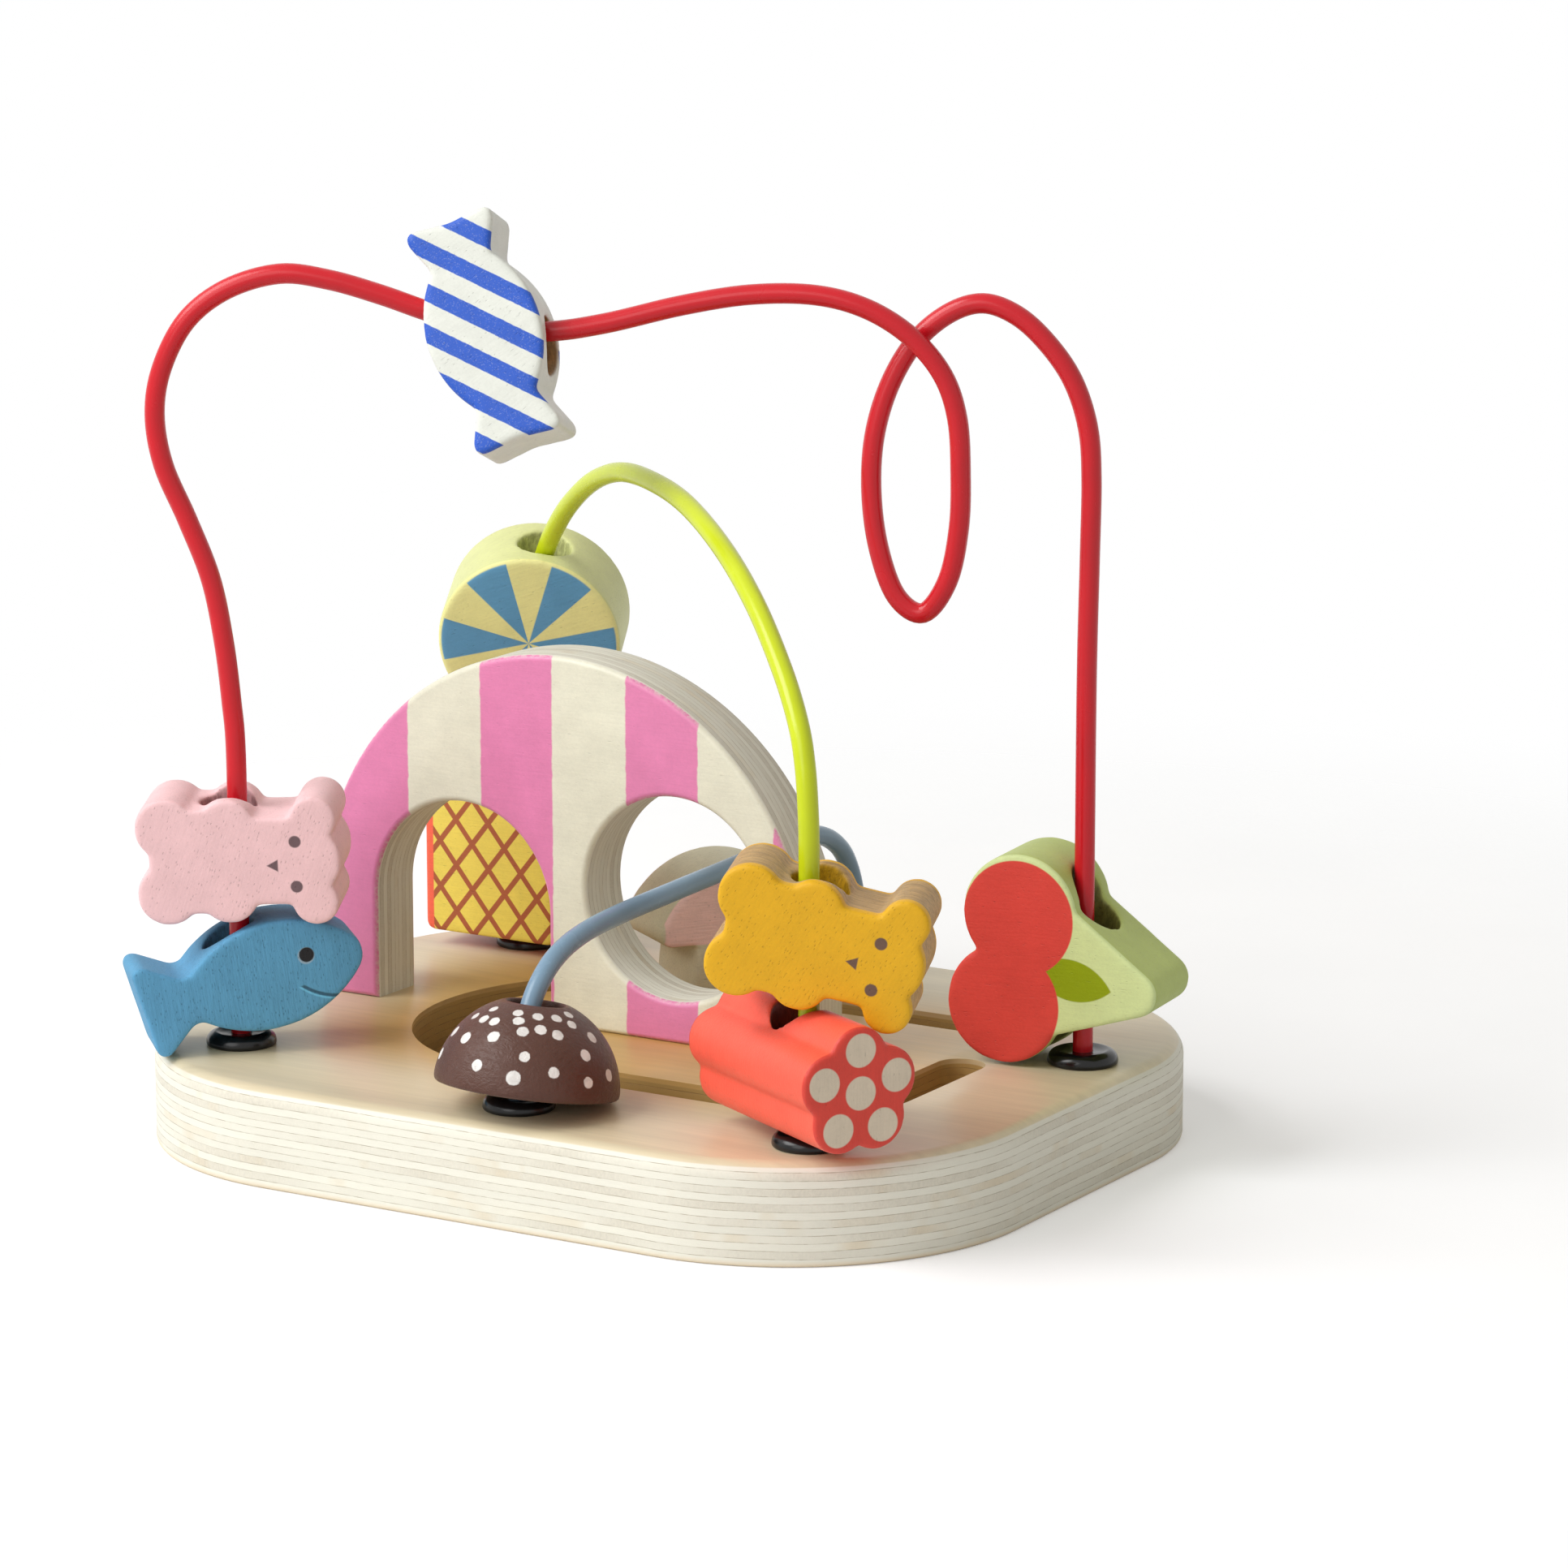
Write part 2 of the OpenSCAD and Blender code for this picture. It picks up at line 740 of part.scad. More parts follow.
bear_yellow_lean_drop = bear_t / 2 * sin(abs(bear_yellow_pose[1]));
bear_yellow_lift = bear_yellow_lean_drop + bear_yellow_lift_share * bear_h + seat_gap;
bear_yellow_z = log_z + lobe_ring + lobe_r + bear_arm_drop + bear_yellow_lift;
bear_yellow_back = bear_back * [-sin(bear_yellow_pose[0]), cos(bear_yellow_pose[0])];

module yellow_bear() {
    color("gold")
        bear(concat(lime_front + bear_yellow_back, bear_yellow_z), bear_yellow_pose);
}

module cone_outline() {
    cone_r = cone_w / 2;
    soft_polygon([
        [-cone_r, 0, tip_r],
        [cone_r, 0, tip_r],
        [cone_r, cone_h - cone_r, 0],
        [-cone_r, cone_h - cone_r, 0]]);
    translate([0, cone_h - cone_r])
        circle(cone_r);
}

module ice_cream() {
    color("orangered")
        posed([lime_back[0], lime_back[1], collar_top + seat_gap], cone_pose)
            difference() {
                translate([cone_shift_share * cone_w, 0, 0])
                    upright(cone_t)
                        cone_outline();
                translate([cone_shift_share * cone_w, 0, 0])
                    bore(4 * cone_h);
            }
}

// The wheel candy hangs on the wire's back bend
lime_span = lime_front - lime_back;
wheel_place = [
    lime_back[0] + wheel_ahead_share * lime_span[0],
    lime_back[1] + wheel_ahead_share * lime_span[1],
    board_top + wheel_height_share * lime_rise];

module wheel_candy() {
    color("khaki")
        posed(wheel_place, wheel_pose)
            difference() {
                rotate([90, 0, 0])
                    cylinder(wheel_t, d = wheel_d, center = true);
                bore(2 * wheel_d);
            }
}

// Bead on the blue wire

dome_place = [
    blue_front[0] + dome_shift_share[0] * dome_r,
    blue_front[1] + dome_shift_share[1] * dome_r,
    collar_top + seat_gap + dome_lift_share * bore_r * (sin(abs(dome_pose[1])) + sin(abs(dome_pose[2])))];

module chocolate_dome() {
    color("saddlebrown")
        posed(dome_place, dome_pose)
            rotate_extrude()
                difference() {
                    circle(dome_r);
                    translate([-2 * dome_r, -2 * dome_r])
                        square([4 * dome_r, 2 * dome_r]);
                    translate([-2 * dome_r, -cut])
                        square([2 * dome_r + bore_r, dome_r + 2 * cut]);
                }
}

// Mushroom on its slider

mushroom_place = [mushroom_x, track_r, board_top + seat_gap];

module mushroom_outline() {
    arc_r = oval_r(cap_w, 2 * cap_h);
    arc_z = stem_h + cap_h - arc_r;
    rim_r = cap_round_share * cap_w;
    rim_z = stem_h + rim_r;
    rim_x = sqrt(pow(arc_r - rim_r, 2) - pow(rim_z - arc_z, 2));
    rim_end = arc_z + (rim_z - arc_z) * arc_r / (arc_r - rim_r);
    foot_r = stem_foot_share * stem_w / 2;
    soft_polygon([
        [-foot_r, 0, tip_r], [foot_r, 0, tip_r],
        [stem_w / 2, stem_h + rim_r, 0], [-stem_w / 2, stem_h + rim_r, 0]]);
    intersection() {
        translate([0, arc_z])
            circle(arc_r);
        union() {
            translate([-rim_x, stem_h])
                square([2 * rim_x, 2 * cap_h]);
            translate([-cap_w, rim_end])
                square([2 * cap_w, 2 * cap_h]);
            for (side = [-1, 1])
                translate([side * rim_x, rim_z])
                    circle(rim_r);
        }
    }
}

module mushroom() {
    color("wheat")
        translate(mushroom_place)
            rotate([0, 0, mushroom_turn])
                difference() {
                    upright(mushroom_t)
                        mushroom_outline();
                    translate([0, 0, -cut])
                        cylinder(pin_grip + run_gap + cut, d = pin_d + 2 * run_gap);
                }
}

disc_z = recess_h - seat_gap - disc_t;

module slider_pin() {
    pin_base = recess_h - seat_gap;
    color("burlywood")
        translate([mushroom_x, track_r, pin_base])
            difference() {
                cylinder(board_t - pin_base + seat_gap + pin_grip, d = pin_d);
                translate([0, 0, -cut])
                    cylinder(screw_grip + wire_gap + cut, d = screw_d + 2 * wire_gap);
            }
}

module slider_disc() {
    color("gray")
        translate([mushroom_x, track_r, disc_z])
            difference() {
                cylinder(disc_t, d = disc_d);
                translate([0, 0, -cut])
                    cylinder(disc_t + 2 * cut, d = screw_d + 2 * wire_gap);
            }
}

module slider_screw() {
    color("silver")
        translate([mushroom_x, track_r, disc_z - screw_head_h])
            screw(disc_t + screw_grip);
}

base_board();
arch_board();
arch_screws();
red_wire();
lime_wire();
blue_wire();
collar_red_left();
collar_red_right();
collar_lime_front();
collar_lime_back();
collar_blue_front();
collar_blue_back();
pink_bear();
blue_fish();
striped_candy();
cherry_block();
wheel_candy();
ice_cream();
yellow_bear();
licorice_log();
chocolate_dome();
mushroom();
slider_pin();
slider_disc();
slider_screw();
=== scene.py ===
"""Bead maze: a plywood board with an arch, three coated wires and painted wooden beads.

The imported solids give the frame. Each piece is modelled here with rounded edges and painted
with procedural materials. The file is laid out as an add-on, with one operator for each piece
or group of like pieces and one for the stage.
"""
import math

import bmesh
import bpy
from bpy.props import FloatProperty, FloatVectorProperty, IntProperty, PointerProperty
from mathutils import Euler, Matrix, Vector


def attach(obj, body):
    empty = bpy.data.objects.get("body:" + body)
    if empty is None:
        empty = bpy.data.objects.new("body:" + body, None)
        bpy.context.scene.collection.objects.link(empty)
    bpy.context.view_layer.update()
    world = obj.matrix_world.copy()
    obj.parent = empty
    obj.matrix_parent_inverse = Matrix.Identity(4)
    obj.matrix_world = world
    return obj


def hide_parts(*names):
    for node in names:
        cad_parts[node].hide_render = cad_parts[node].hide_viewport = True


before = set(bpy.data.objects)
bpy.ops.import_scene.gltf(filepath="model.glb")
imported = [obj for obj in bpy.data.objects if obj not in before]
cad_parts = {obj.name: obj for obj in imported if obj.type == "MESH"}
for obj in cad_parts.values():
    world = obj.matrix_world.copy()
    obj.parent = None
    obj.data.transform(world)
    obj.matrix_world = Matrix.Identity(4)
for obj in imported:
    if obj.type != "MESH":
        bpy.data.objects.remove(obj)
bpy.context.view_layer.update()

bl_info = {
    "name": "Bead Maze",
    "version": (1, 0, 0),
    "blender": (4, 5, 0),
    "location": "3D View > Sidebar > Bead Maze",
    "description": "Models and paints a bead maze around its packed solids",
    "category": "Add Mesh",
}

MM = 0.001
QUARTER = math.pi / 2

# In metres: what counts as the same place, how far cutters pass a surface, depth of the bumps
NEAR = 1e-6
SPARE = 0.001
BUMP_REACH = 0.0004

# Points of each wire between its feet: shares of the span, of the rise and of half the loop's depth
RED_ROUTE = (
    (0, 0, 0), (0, .2, 0), (0, .38, 0), (-.004, .45, 0), (-.012, .53, 0), (-.026, .61, 0),
    (-.052, .685, 0), (-.079, .755, 0), (-.088, .82, 0), (-.078, .88, 0), (-.048, .94, 0),
    (0, .98, 0), (.062, 1, 0), (.12, .993, 0), (.18, .975, 0), (.24, .953, 0), (.3, .937, 0),
    (.37, .931, 0), (.44, .942, 0), (.53, .966, 0), (.61, .981, -.2), (.685, .982, -.5),
    (.745, .966, -.8), (.796, .932, -1), (.832, .885, -1), (.849, .83, -.95), (.853, .76, -.8),
    (.851, .69, -.55), (.838, .622, -.25), (.81, .58, 0), (.778, .6, .25), (.757, .66, .5),
    (.748, .73, .75), (.751, .8, .9), (.768, .865, 1), (.797, .92, 1), (.836, .957, .9),
    (.876, .971, .7), (.915, .957, .45), (.95, .924, .2), (.98, .878, .05), (.998, .82, 0),
    (1.003, .755, 0), (1.002, .65, 0), (1, .5, 0), (1, .25, 0), (1, 0, 0))
LIME_ROUTE = (
    (0, 0, 0), (0, .3, 0), (0, .5, 0), (.003, .57, 0), (.013, .645, 0), (.034, .708, 0),
    (.083, .782, 0), (.17, .871, 0), (.275, .94, 0), (.4, .987, 0), (.52, 1, 0), (.63, .991, 0),
    (.73, .953, 0), (.82, .891, 0), (.885, .826, 0), (.93, .762, 0), (.964, .69, 0),
    (.986, .613, 0), (.997, .54, 0), (1, .46, 0), (1, .25, 0), (1, 0, 0))
BLUE_ROUTE = (
    (0, 0, 0), (.002, .2, 0), (.012, .4, 0), (.028, .548, 0), (.056, .69, 0), (.102, .815, 0),
    (.17, .893, 0), (.273, .932, 0), (.46, .955, 0), (.65, .975, 0), (.8, .997, 0),
    (.855, .99, 0), (.905, .935, 0), (.95, .82, 0), (.98, .65, 0), (.996, .45, 0), (1, .25, 0),
    (1, 0, 0))
LOOP_HALF = 3.2

# Feet on the board in mm, each wire's route, feet and rise, and the levels of a foot hole
FEET = {
    "red_left": (-68.4, -51.324), "red_right": (81.89, 22.308), "lime_front": (67.07, -57.72),
    "lime_back": (-66.12, 48.828), "blue_front": (6.08, -63.648), "blue_back": (6.08, 63.648)}
WIRES = (
    ("red_wire", RED_ROUTE, "red_left", "red_right", 154),
    ("lime_wire", LIME_ROUTE, "lime_front", "lime_back", 112),
    ("blue_wire", BLUE_ROUTE, "blue_front", "blue_back", 33))
FOOT_LEVELS = (6.0, 13.0, 20.0)

# Place in mm and turn, lean and roll in degrees of each bead's own frame
SEATS = {
    "pink_bear": ((-69.636, -51.981, 59.268), (28, 2, -1.5)),
    "yellow_bear": ((66.620, -56.607, 60.408), (22, 2, 12)),
    "blue_fish": ((-68.4, -51.324, 33.933), (44, -2.5, -14.5)),
    "striped_candy": ((-21.960, -28.572, 162.352), (21, -16, -21.4)),
    "cherry_block": ((81.89, 22.308, 39.610), (6, 0, 10)),
    "wheel_candy": ((-61.725, 45.312, 90.224), (26, 14, 9)),
    "ice_cream": ((-66.12, 48.828, 23.1), (0, 0, 0)),
    "licorice_log": ((64.434, -56.288, 34.368), (61.5, 0, 0)),
    "chocolate_dome": ((6.98, -62.442, 23.531), (31, -8, 7)),
    "mushroom": ((-9, 36.35, 20.3), (56, 0, 0))}

# Printed dots of the dome: angle from the bore, angle round it, radius in mm
DOTS = (
    (32, -145, 0.9), (42, -158, 0.9), (42, -141, 1.05), (42, -127, 1.1), (31, -109, 1.0),
    (38, -104, 1.1), (46, -97, 1.15), (32, -85, 1.05), (43, -82, 1.15), (32, -63, 1.05),
    (46, -67, 1.15), (28, -40, 1.0), (37, -47, 1.05), (47, -30, 1.2), (59, -46, 1.2),
    (72, -25, 1.2), (76, -47, 1.1), (71, -72, 1.05), (63, -92, 1.05), (77, -97, 1.4),
    (73, -123, 1.15), (58, -144, 1.25), (53, -119, 1.2), (57, -168, 1.2), (73, -170, 1.2))
DOT_REACH = 17.9

# Other prints, in mm and radians, in each bead's own frame: round marks as place across, place
# up and radius, then the candy's stripes and bore, the wheel's wedges, the waffle and the log
BEAR_EYES = ((14.1, 4.0, 1.2), (14.1, -5.1, 1.2))
BEAR_NOSE_TIP, BEAR_NOSE_TOP, BEAR_NOSE_MIDDLE = 8.3, 10.6, -0.8
# The fish's pale crescent round its eye is a painted highlight, not a print
FISH_EYE_HIGHLIGHT, FISH_EYE = (12.85, 1.95, 1.68), (13.0, 2.1, 1.5)
FISH_MOUTH = (20.3, 4.6, 12.75)
CHERRIES = ((-11.8, -9.3, 11.85), (-11.8, 8.4, 11.6))
LEAF_ARCS = ((1.3, -7.4, 10.9), (1.3, 6.2, 10.9))
CANDY_SLANT, CANDY_PERIOD, CANDY_SHIFT = math.radians(45.5), 7.15, 101.915
CANDY_BORE = (0.869, 0.128, -0.479)
WHEEL_PHASE, WHEEL_PERIOD = math.radians(375 + 6.6), math.radians(60)
WAFFLE_WIDTH, WAFFLE_HEIGHT, ICE_BORE = 8.15, 9.9, -2.925
LOG_LOBES, LOG_RING, LOG_DISC = 5, 8.1, 3.2

# In mm: pink stripes along X and half the thickness of the arch, and half the length and width of
# the board without its round corners
ARCH_STRIPES = ((-90, -58.1), (-40.3, -23.1), (-5.7, 11.1), (28.5, 60))
ARCH_HALF = 7.0
BOARD_CORE_X, BOARD_CORE_Y = 45.0, 28.0

# Centre line of the track in metres: right run, corner, round end and the tips of both runs
TRACK_RIGHT, TRACK_TIP = 62.3 * MM, 8.0 * MM
TRACK_CORNER_X, TRACK_CORNER_Y = 46.3 * MM, -20.35 * MM
TRACK_MIDDLE, TRACK_BACK, TRACK_RADIUS = -12.5 * MM, 58.0 * MM, 36.35 * MM

# Places of the arch's screws along X, their holes, the slider's place and the bore for its screw
SCREW_PLACES = (-73.8 * MM, -15.0 * MM, 24.8 * MM)
HOLE_RADIUS, HOLE_DEPTH = 4.2 * MM, 2.4 * MM
SLIDER_PLACE = Vector((-9.0, 36.35, 0)) * MM
SCREW_BORE = 1.8 * MM

# Place of the arch along X, its spring line and doorway over the board, and the window
ARCH_X, ARCH_SPRING = -0.022, 0.0173
DOOR_X, DOOR_RISE = -0.0454, 0.0225
WINDOW_PLACE = (0.0052, 0, 0.0493)

# Lamps of the stage as name, place, size in metres and power in watts, what they aim at, and the
# camera's place, its tilt and turn in degrees and its lens in mm
LAMPS = (("key", (-0.8, -0.85, 1.15), 1.1, 18.8), ("front", (-0.05, -1.3, 0.7), 1.0, 4.8))
LAMP_AIM = Vector((0, 0, 0.06))
CAMERA_PLACE = (0.6201, -0.9809, 0.3193)
CAMERA_TILT, CAMERA_TURN, CAMERA_LENS = 90 - 12.08, 31.17, 137.1


def linear(red, green, blue):
    """A colour written as eight-bit display values, as linear light."""
    values = []
    for level in (red, green, blue):
        share = level / 255
        values.append(share / 12.92 if share <= 0.04045 else ((share + 0.055) / 1.055) ** 2.4)
    return tuple(values)


def tone(colour, factor):
    """A colour made darker or lighter."""
    return tuple(min(1.0, part * factor) for part in colour)


def length(name, description, default):
    """A size that a user can change, in metres."""
    return FloatProperty(name=name, description=description, default=default, min=0.0,
                         unit='LENGTH', precision=5)


def tint(name, description, red, green, blue):
    """A colour that a user can change."""
    return FloatVectorProperty(name=name, description=description, subtype='COLOR', size=3,
                               min=0.0, max=1.0, default=linear(red, green, blue))


class BoardSizes(bpy.types.PropertyGroup):
    """Sizes of the board, its track and the arch."""
    board_length: length("Board length", "Length of the plywood board", 0.19)
    board_width: length("Board width", "Width of the plywood board", 0.156)
    board_height: length("Board thickness", "Thickness of the plywood board", 0.02)
    corner: length("Corner radius", "Radius of the board's corners", 0.05)
    top_round: length("Top round-over", "Round-over of the board's top edge", 0.0035)
    bottom_round: length("Bottom round-over", "Round-over of the board's bottom edge", 0.0008)
    slot_width: length("Slot width", "Width of the track's slot", 0.01)
    slot_round: length("Slot edge", "Round-over of the slot's edges", 0.0009)
    recess_width: length("Recess width", "Width of the recess under the slot", 0.018)
    recess_height: length("Recess height", "Height of the recess under the slot", 0.007)
    arch_radius: length("Arch radius", "Radius of the arch's outline", 0.0585)
    arch_thickness: length("Arch thickness", "Thickness of the arch", 0.014)
    arch_round: length("Arch edge", "Round-over of the arch's edges", 0.0013)
    window_radius: length("Window radius", "Radius of the arch's round window", 0.0207)
    door_width: length("Door width", "Width of the arch's doorway", 0.042)


class BeadSizes(bpy.types.PropertyGroup):
    """Sizes of the wires, the collars and the beads' softened edges."""
    wire_diameter: length("Wire diameter", "Diameter of the coated wires", 0.004)
    collar_diameter: length("Collar diameter", "Diameter of the black collars", 0.014)
    collar_height: length("Collar height", "Height of the black collars", 0.0028)
    voxel: length("Voxel", "Grid size with which the beads' edges are softened", 0.00036)
    soft_rounds: IntProperty(name="Soft rounds", description="Smoothing rounds on each bead",
                             default=40, min=1, max=200)


class MazeColours(bpy.types.PropertyGroup):
    """Colours of the paint, the wood, the wires and the plastic."""
    veneer: tint("Veneer", "Top veneer of the board", 217, 204, 172)
    # The warm veneer is the veneer's colour with a painted reflection of the beads and arch and
    # painted shade in it
    veneer_painted_reflection: tint("Warm veneer", "Top veneer in the middle of the board", 202, 163, 98)
    ply_light: tint("Light ply", "Lighter layers of the plywood", 236, 234, 221)
    ply_dark: tint("Dark ply", "Darker layers of the plywood", 223, 218, 203)
    arch_pink: tint("Arch pink", "Pink stripes of the arch", 229, 133, 180)
    arch_cream: tint("Arch cream", "Cream stripes of the arch", 231, 229, 209)
    red_wire: tint("Red wire", "Coat of the red wire", 212, 26, 40)
    lime_wire: tint("Lime wire", "Coat of the lime wire", 205, 220, 25)
    blue_wire: tint("Blue wire", "Coat of the blue wire", 125, 155, 180)
    collar: tint("Collar", "Plastic of the collars", 18, 18, 19)
    pink_bear: tint("Pink bear", "Paint of the pink bear", 246, 203, 207)
    yellow_bear: tint("Yellow bear", "Paint of the yellow bear", 232, 178, 30)
    fish: tint("Fish", "Paint of the fish", 94, 161, 202)
    candy_white: tint("Candy white", "White paint of the candy", 235, 238, 231)
    candy_blue: tint("Candy blue", "Stripes of the candy", 48, 96, 205)
    cherry_green: tint("Cherry green", "Sides of the cherry bead", 186, 201, 114)
    cherry_face: tint("Cherry face", "Face of the cherry bead", 216, 231, 165)
    cherry_red: tint("Cherry red", "Printed cherries", 226, 75, 66)
    cherry_leaf: tint("Cherry leaf", "Printed leaf", 148, 166, 10)
    wheel_side: tint("Wheel side", "Sides of the wheel candy", 222, 226, 158)
    wheel_yellow: tint("Wheel yellow", "Yellow wedges of the wheel candy", 246, 243, 166)
    wheel_blue: tint("Wheel blue", "Blue wedges of the wheel candy", 102, 164, 204)
    ice_red: tint("Ice cream red", "Red paint of the ice cream", 250, 108, 80)
    ice_waffle: tint("Waffle", "Waffle of the ice cream", 243, 222, 98)
    ice_line: tint("Waffle line", "Lines of the waffle", 176, 96, 60)
    log_side: tint("Log side", "Paint of the licorice log", 250, 100, 80)
    log_face: tint("Log face", "End faces of the licorice log", 220, 71, 59)
    log_dot: tint("Log dot", "Printed discs on the log's ends", 218, 203, 182)
    chocolate: tint("Chocolate", "Paint of the chocolate dome", 88, 57, 47)
    dots: tint("Dots", "Printed dots on the dome", 240, 238, 236)
    mushroom_wood: tint("Mushroom wood", "Sides and stem of the mushroom", 212, 206, 176)
    mushroom_cap: tint("Mushroom cap", "Printed face of the cap", 246, 206, 198)
    ink: tint("Ink", "Dark print of eyes and noses", 88, 68, 74)
    raw_wood: tint("Raw wood", "Bare wood of bores and worn sides", 206, 168, 112)


# Work on meshes

def free_hands():
    """Leaves edit mode and selects nothing."""
    active = bpy.context.view_layer.objects.active
    if active is not None and active.mode != 'OBJECT':
        bpy.ops.object.mode_set(mode='OBJECT')
    bpy.ops.object.select_all(action='DESELECT')


def take(piece):
    """Makes a piece the only selected one."""
    free_hands()
    piece.select_set(True)
    bpy.context.view_layer.objects.active = piece


def fresh(name):
    """Names the primitive that was just added and puts its place into its mesh."""
    piece = bpy.context.object
    piece.name = name
    piece.data.name = name
    bpy.ops.object.transform_apply(location=True, rotation=True, scale=True)
    return piece


def add_block(name, low, high):
    """A box between two corners, as a start or as a cutter."""
    free_hands()
    bpy.ops.mesh.primitive_cube_add(size=1, location=[(a + b) / 2 for a, b in zip(low, high)],
                                    scale=[b - a for a, b in zip(low, high)])
    return fresh(name)


def add_rod(name, radius, low, high, sides=96, axis='Z', centre=(0, 0, 0)):
    """A cylinder along Y or Z through a centre, as a start or as a cutter."""
    free_hands()
    turn, along = {'Y': ((-QUARTER, 0, 0), (0, 1, 0)), 'Z': ((0, 0, 0), (0, 0, 1))}[axis]
    bpy.ops.mesh.primitive_cylinder_add(
        vertices=sides, radius=radius, depth=high - low, rotation=turn,
        location=Vector(centre) + Vector(along) * (low + high) / 2)
    return fresh(name)


def copy_to(piece, name, place):
    """A copy of a piece with its own mesh, moved to a place."""
    twin = bpy.data.objects.new(name, piece.data.copy())
    bpy.context.scene.collection.objects.link(twin)
    twin.data.transform(Matrix.Translation(place))
    return twin


def pick(piece, kind, test):
    """Opens a piece in edit mode with the edges or faces that pass a test selected."""
    take(piece)
    bpy.ops.object.mode_set(mode='EDIT')
    bpy.ops.mesh.select_mode(type=kind)
    bpy.ops.mesh.select_all(action='DESELECT')
    mesh = bmesh.from_edit_mesh(piece.data)
    elements = {'EDGE': mesh.edges, 'FACE': mesh.faces}[kind]
    chosen = [element for element in elements if test(element)]
    if not chosen:
        raise RuntimeError("nothing to pick on " + piece.name)
    for element in chosen:
        element.select_set(True)
    mesh.select_flush_mode()
    bmesh.update_edit_mesh(piece.data)


def at_level(level, axis=2):
    """A test for edges that lie at one level of an axis."""
    return lambda edge: all(abs(v.co[axis] - level) < NEAR for v in edge.verts)


def rim(axis, level=None):
    """A test for edges between a face that looks along an axis and one that doesn't."""
    def test(edge):
        if len(edge.link_faces) != 2:
            return False
        if level is not None and any(abs(v.co[axis] - level) > 1e-5 for v in edge.verts):
            return False
        looks = sorted(abs(face.normal[axis]) for face in edge.link_faces)
        return looks[0] < 0.3 and looks[1] > 0.98
    return test


def push_edges(x, y, z):
    """Extrudes the picked edges."""
    bpy.ops.mesh.extrude_edges_move(TRANSFORM_OT_translate={"value": (x, y, z)})


def push_faces(x, y, z):
    """Extrudes the picked faces."""
    bpy.ops.mesh.extrude_region_move(TRANSFORM_OT_translate={"value": (x, y, z)})


def tidy(piece, distance=NEAR):
    """Merges doubles and turns all faces outward."""
    take(piece)
    bpy.ops.object.mode_set(mode='EDIT')
    bpy.ops.mesh.select_mode(type='VERT')
    bpy.ops.mesh.select_all(action='SELECT')
    bpy.ops.mesh.remove_doubles(threshold=distance)
    bpy.ops.mesh.normals_make_consistent(inside=False)
    bpy.ops.object.mode_set(mode='OBJECT')


def bevel(piece, test, offset, segments):
    """Rounds the edges that pass a test."""
    pick(piece, 'EDGE', test)
    bpy.ops.mesh.bevel(offset=offset, offset_type='OFFSET', segments=segments, profile=0.5,
                       affect='EDGES', clamp_overlap=True)
    bpy.ops.object.mode_set(mode='OBJECT')


def apply(piece, kind, **settings):
    """Adds a modifier, sets it up and applies it."""
    take(piece)
    modifier = piece.modifiers.new(kind.lower(), kind)
    for name, value in settings.items():
        setattr(modifier, name, value)
    bpy.ops.object.modifier_apply(modifier=modifier.name)


def cut(piece, *cutters):
    """Takes cutters out of a piece and throws them away."""
    for cutter in cutters:
        apply(piece, 'BOOLEAN', operation='DIFFERENCE', solver='EXACT', object=cutter)
        bpy.data.objects.remove(cutter)


def smooth(piece, degrees=35):
    """Smooth shading, with edges sharper than an angle left crisp."""
    take(piece)
    bpy.ops.object.shade_smooth_by_angle(angle=math.radians(degrees))


def seat(name):
    """The matrix that puts a bead's own frame in its place."""
    place, angles = SEATS[name]
    turn, lean, roll = (Matrix.Rotation(math.radians(angle), 4, axis)
                        for angle, axis in zip(angles, 'ZXY'))
    return Matrix.Translation(Vector(place) * MM) @ (turn @ lean @ roll)


def soften(node, name, sizes):
    """A bead from a copy of its CAD node, with edges rounded by a voxel remesh and smoothing."""
    free_hands()
    piece = bpy.data.objects.new(name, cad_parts[node].data.copy())
    piece.data.name = name
    bpy.context.scene.collection.objects.link(piece)
    piece.data.materials.clear()
    tidy(piece, 2 * NEAR)
    piece.data.transform(seat(node).inverted())
    apply(piece, 'REMESH', mode='VOXEL', voxel_size=sizes.voxel, adaptivity=0.0)
    apply(piece, 'SMOOTH', factor=0.5, iterations=sizes.soft_rounds)
    piece.data.transform(seat(node))
    take(piece)
    bpy.ops.object.shade_smooth()
    return piece


def finish_piece(piece, body, node, material):
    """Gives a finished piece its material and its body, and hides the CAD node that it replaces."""
    piece.data.materials.append(material)
    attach(piece, body)
    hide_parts(node)
    free_hands()


# Work on materials

class Value:
    """An output socket of a shader tree that can be reckoned with."""

    def __init__(self, desk, socket):
        self.desk, self.socket = desk, socket

    def __add__(self, other):
        return self.desk.sum('ADD', self, other)

    def __sub__(self, other):
        return self.desk.sum('SUBTRACT', self, other)

    def __rsub__(self, other):
        return self.desk.sum('SUBTRACT', other, self)

    def __mul__(self, other):
        return self.desk.sum('MULTIPLY', self, other)

    def __truediv__(self, other):
        return self.desk.sum('DIVIDE', self, other)

    def __abs__(self):
        return self.desk.sum('ABSOLUTE', self)

    def ramp(self, low, high, new_low=0.0, new_high=1.0, soft=False):
        """The value mapped from a range to another, clamped."""
        node = self.desk.add('ShaderNodeMapRange', clamp=True,
                             interpolation_type='SMOOTHSTEP' if soft else 'LINEAR')
        self.desk.feed_all(node, enumerate((self, low, high, new_low, new_high)))
        return Value(self.desk, node.outputs[0])


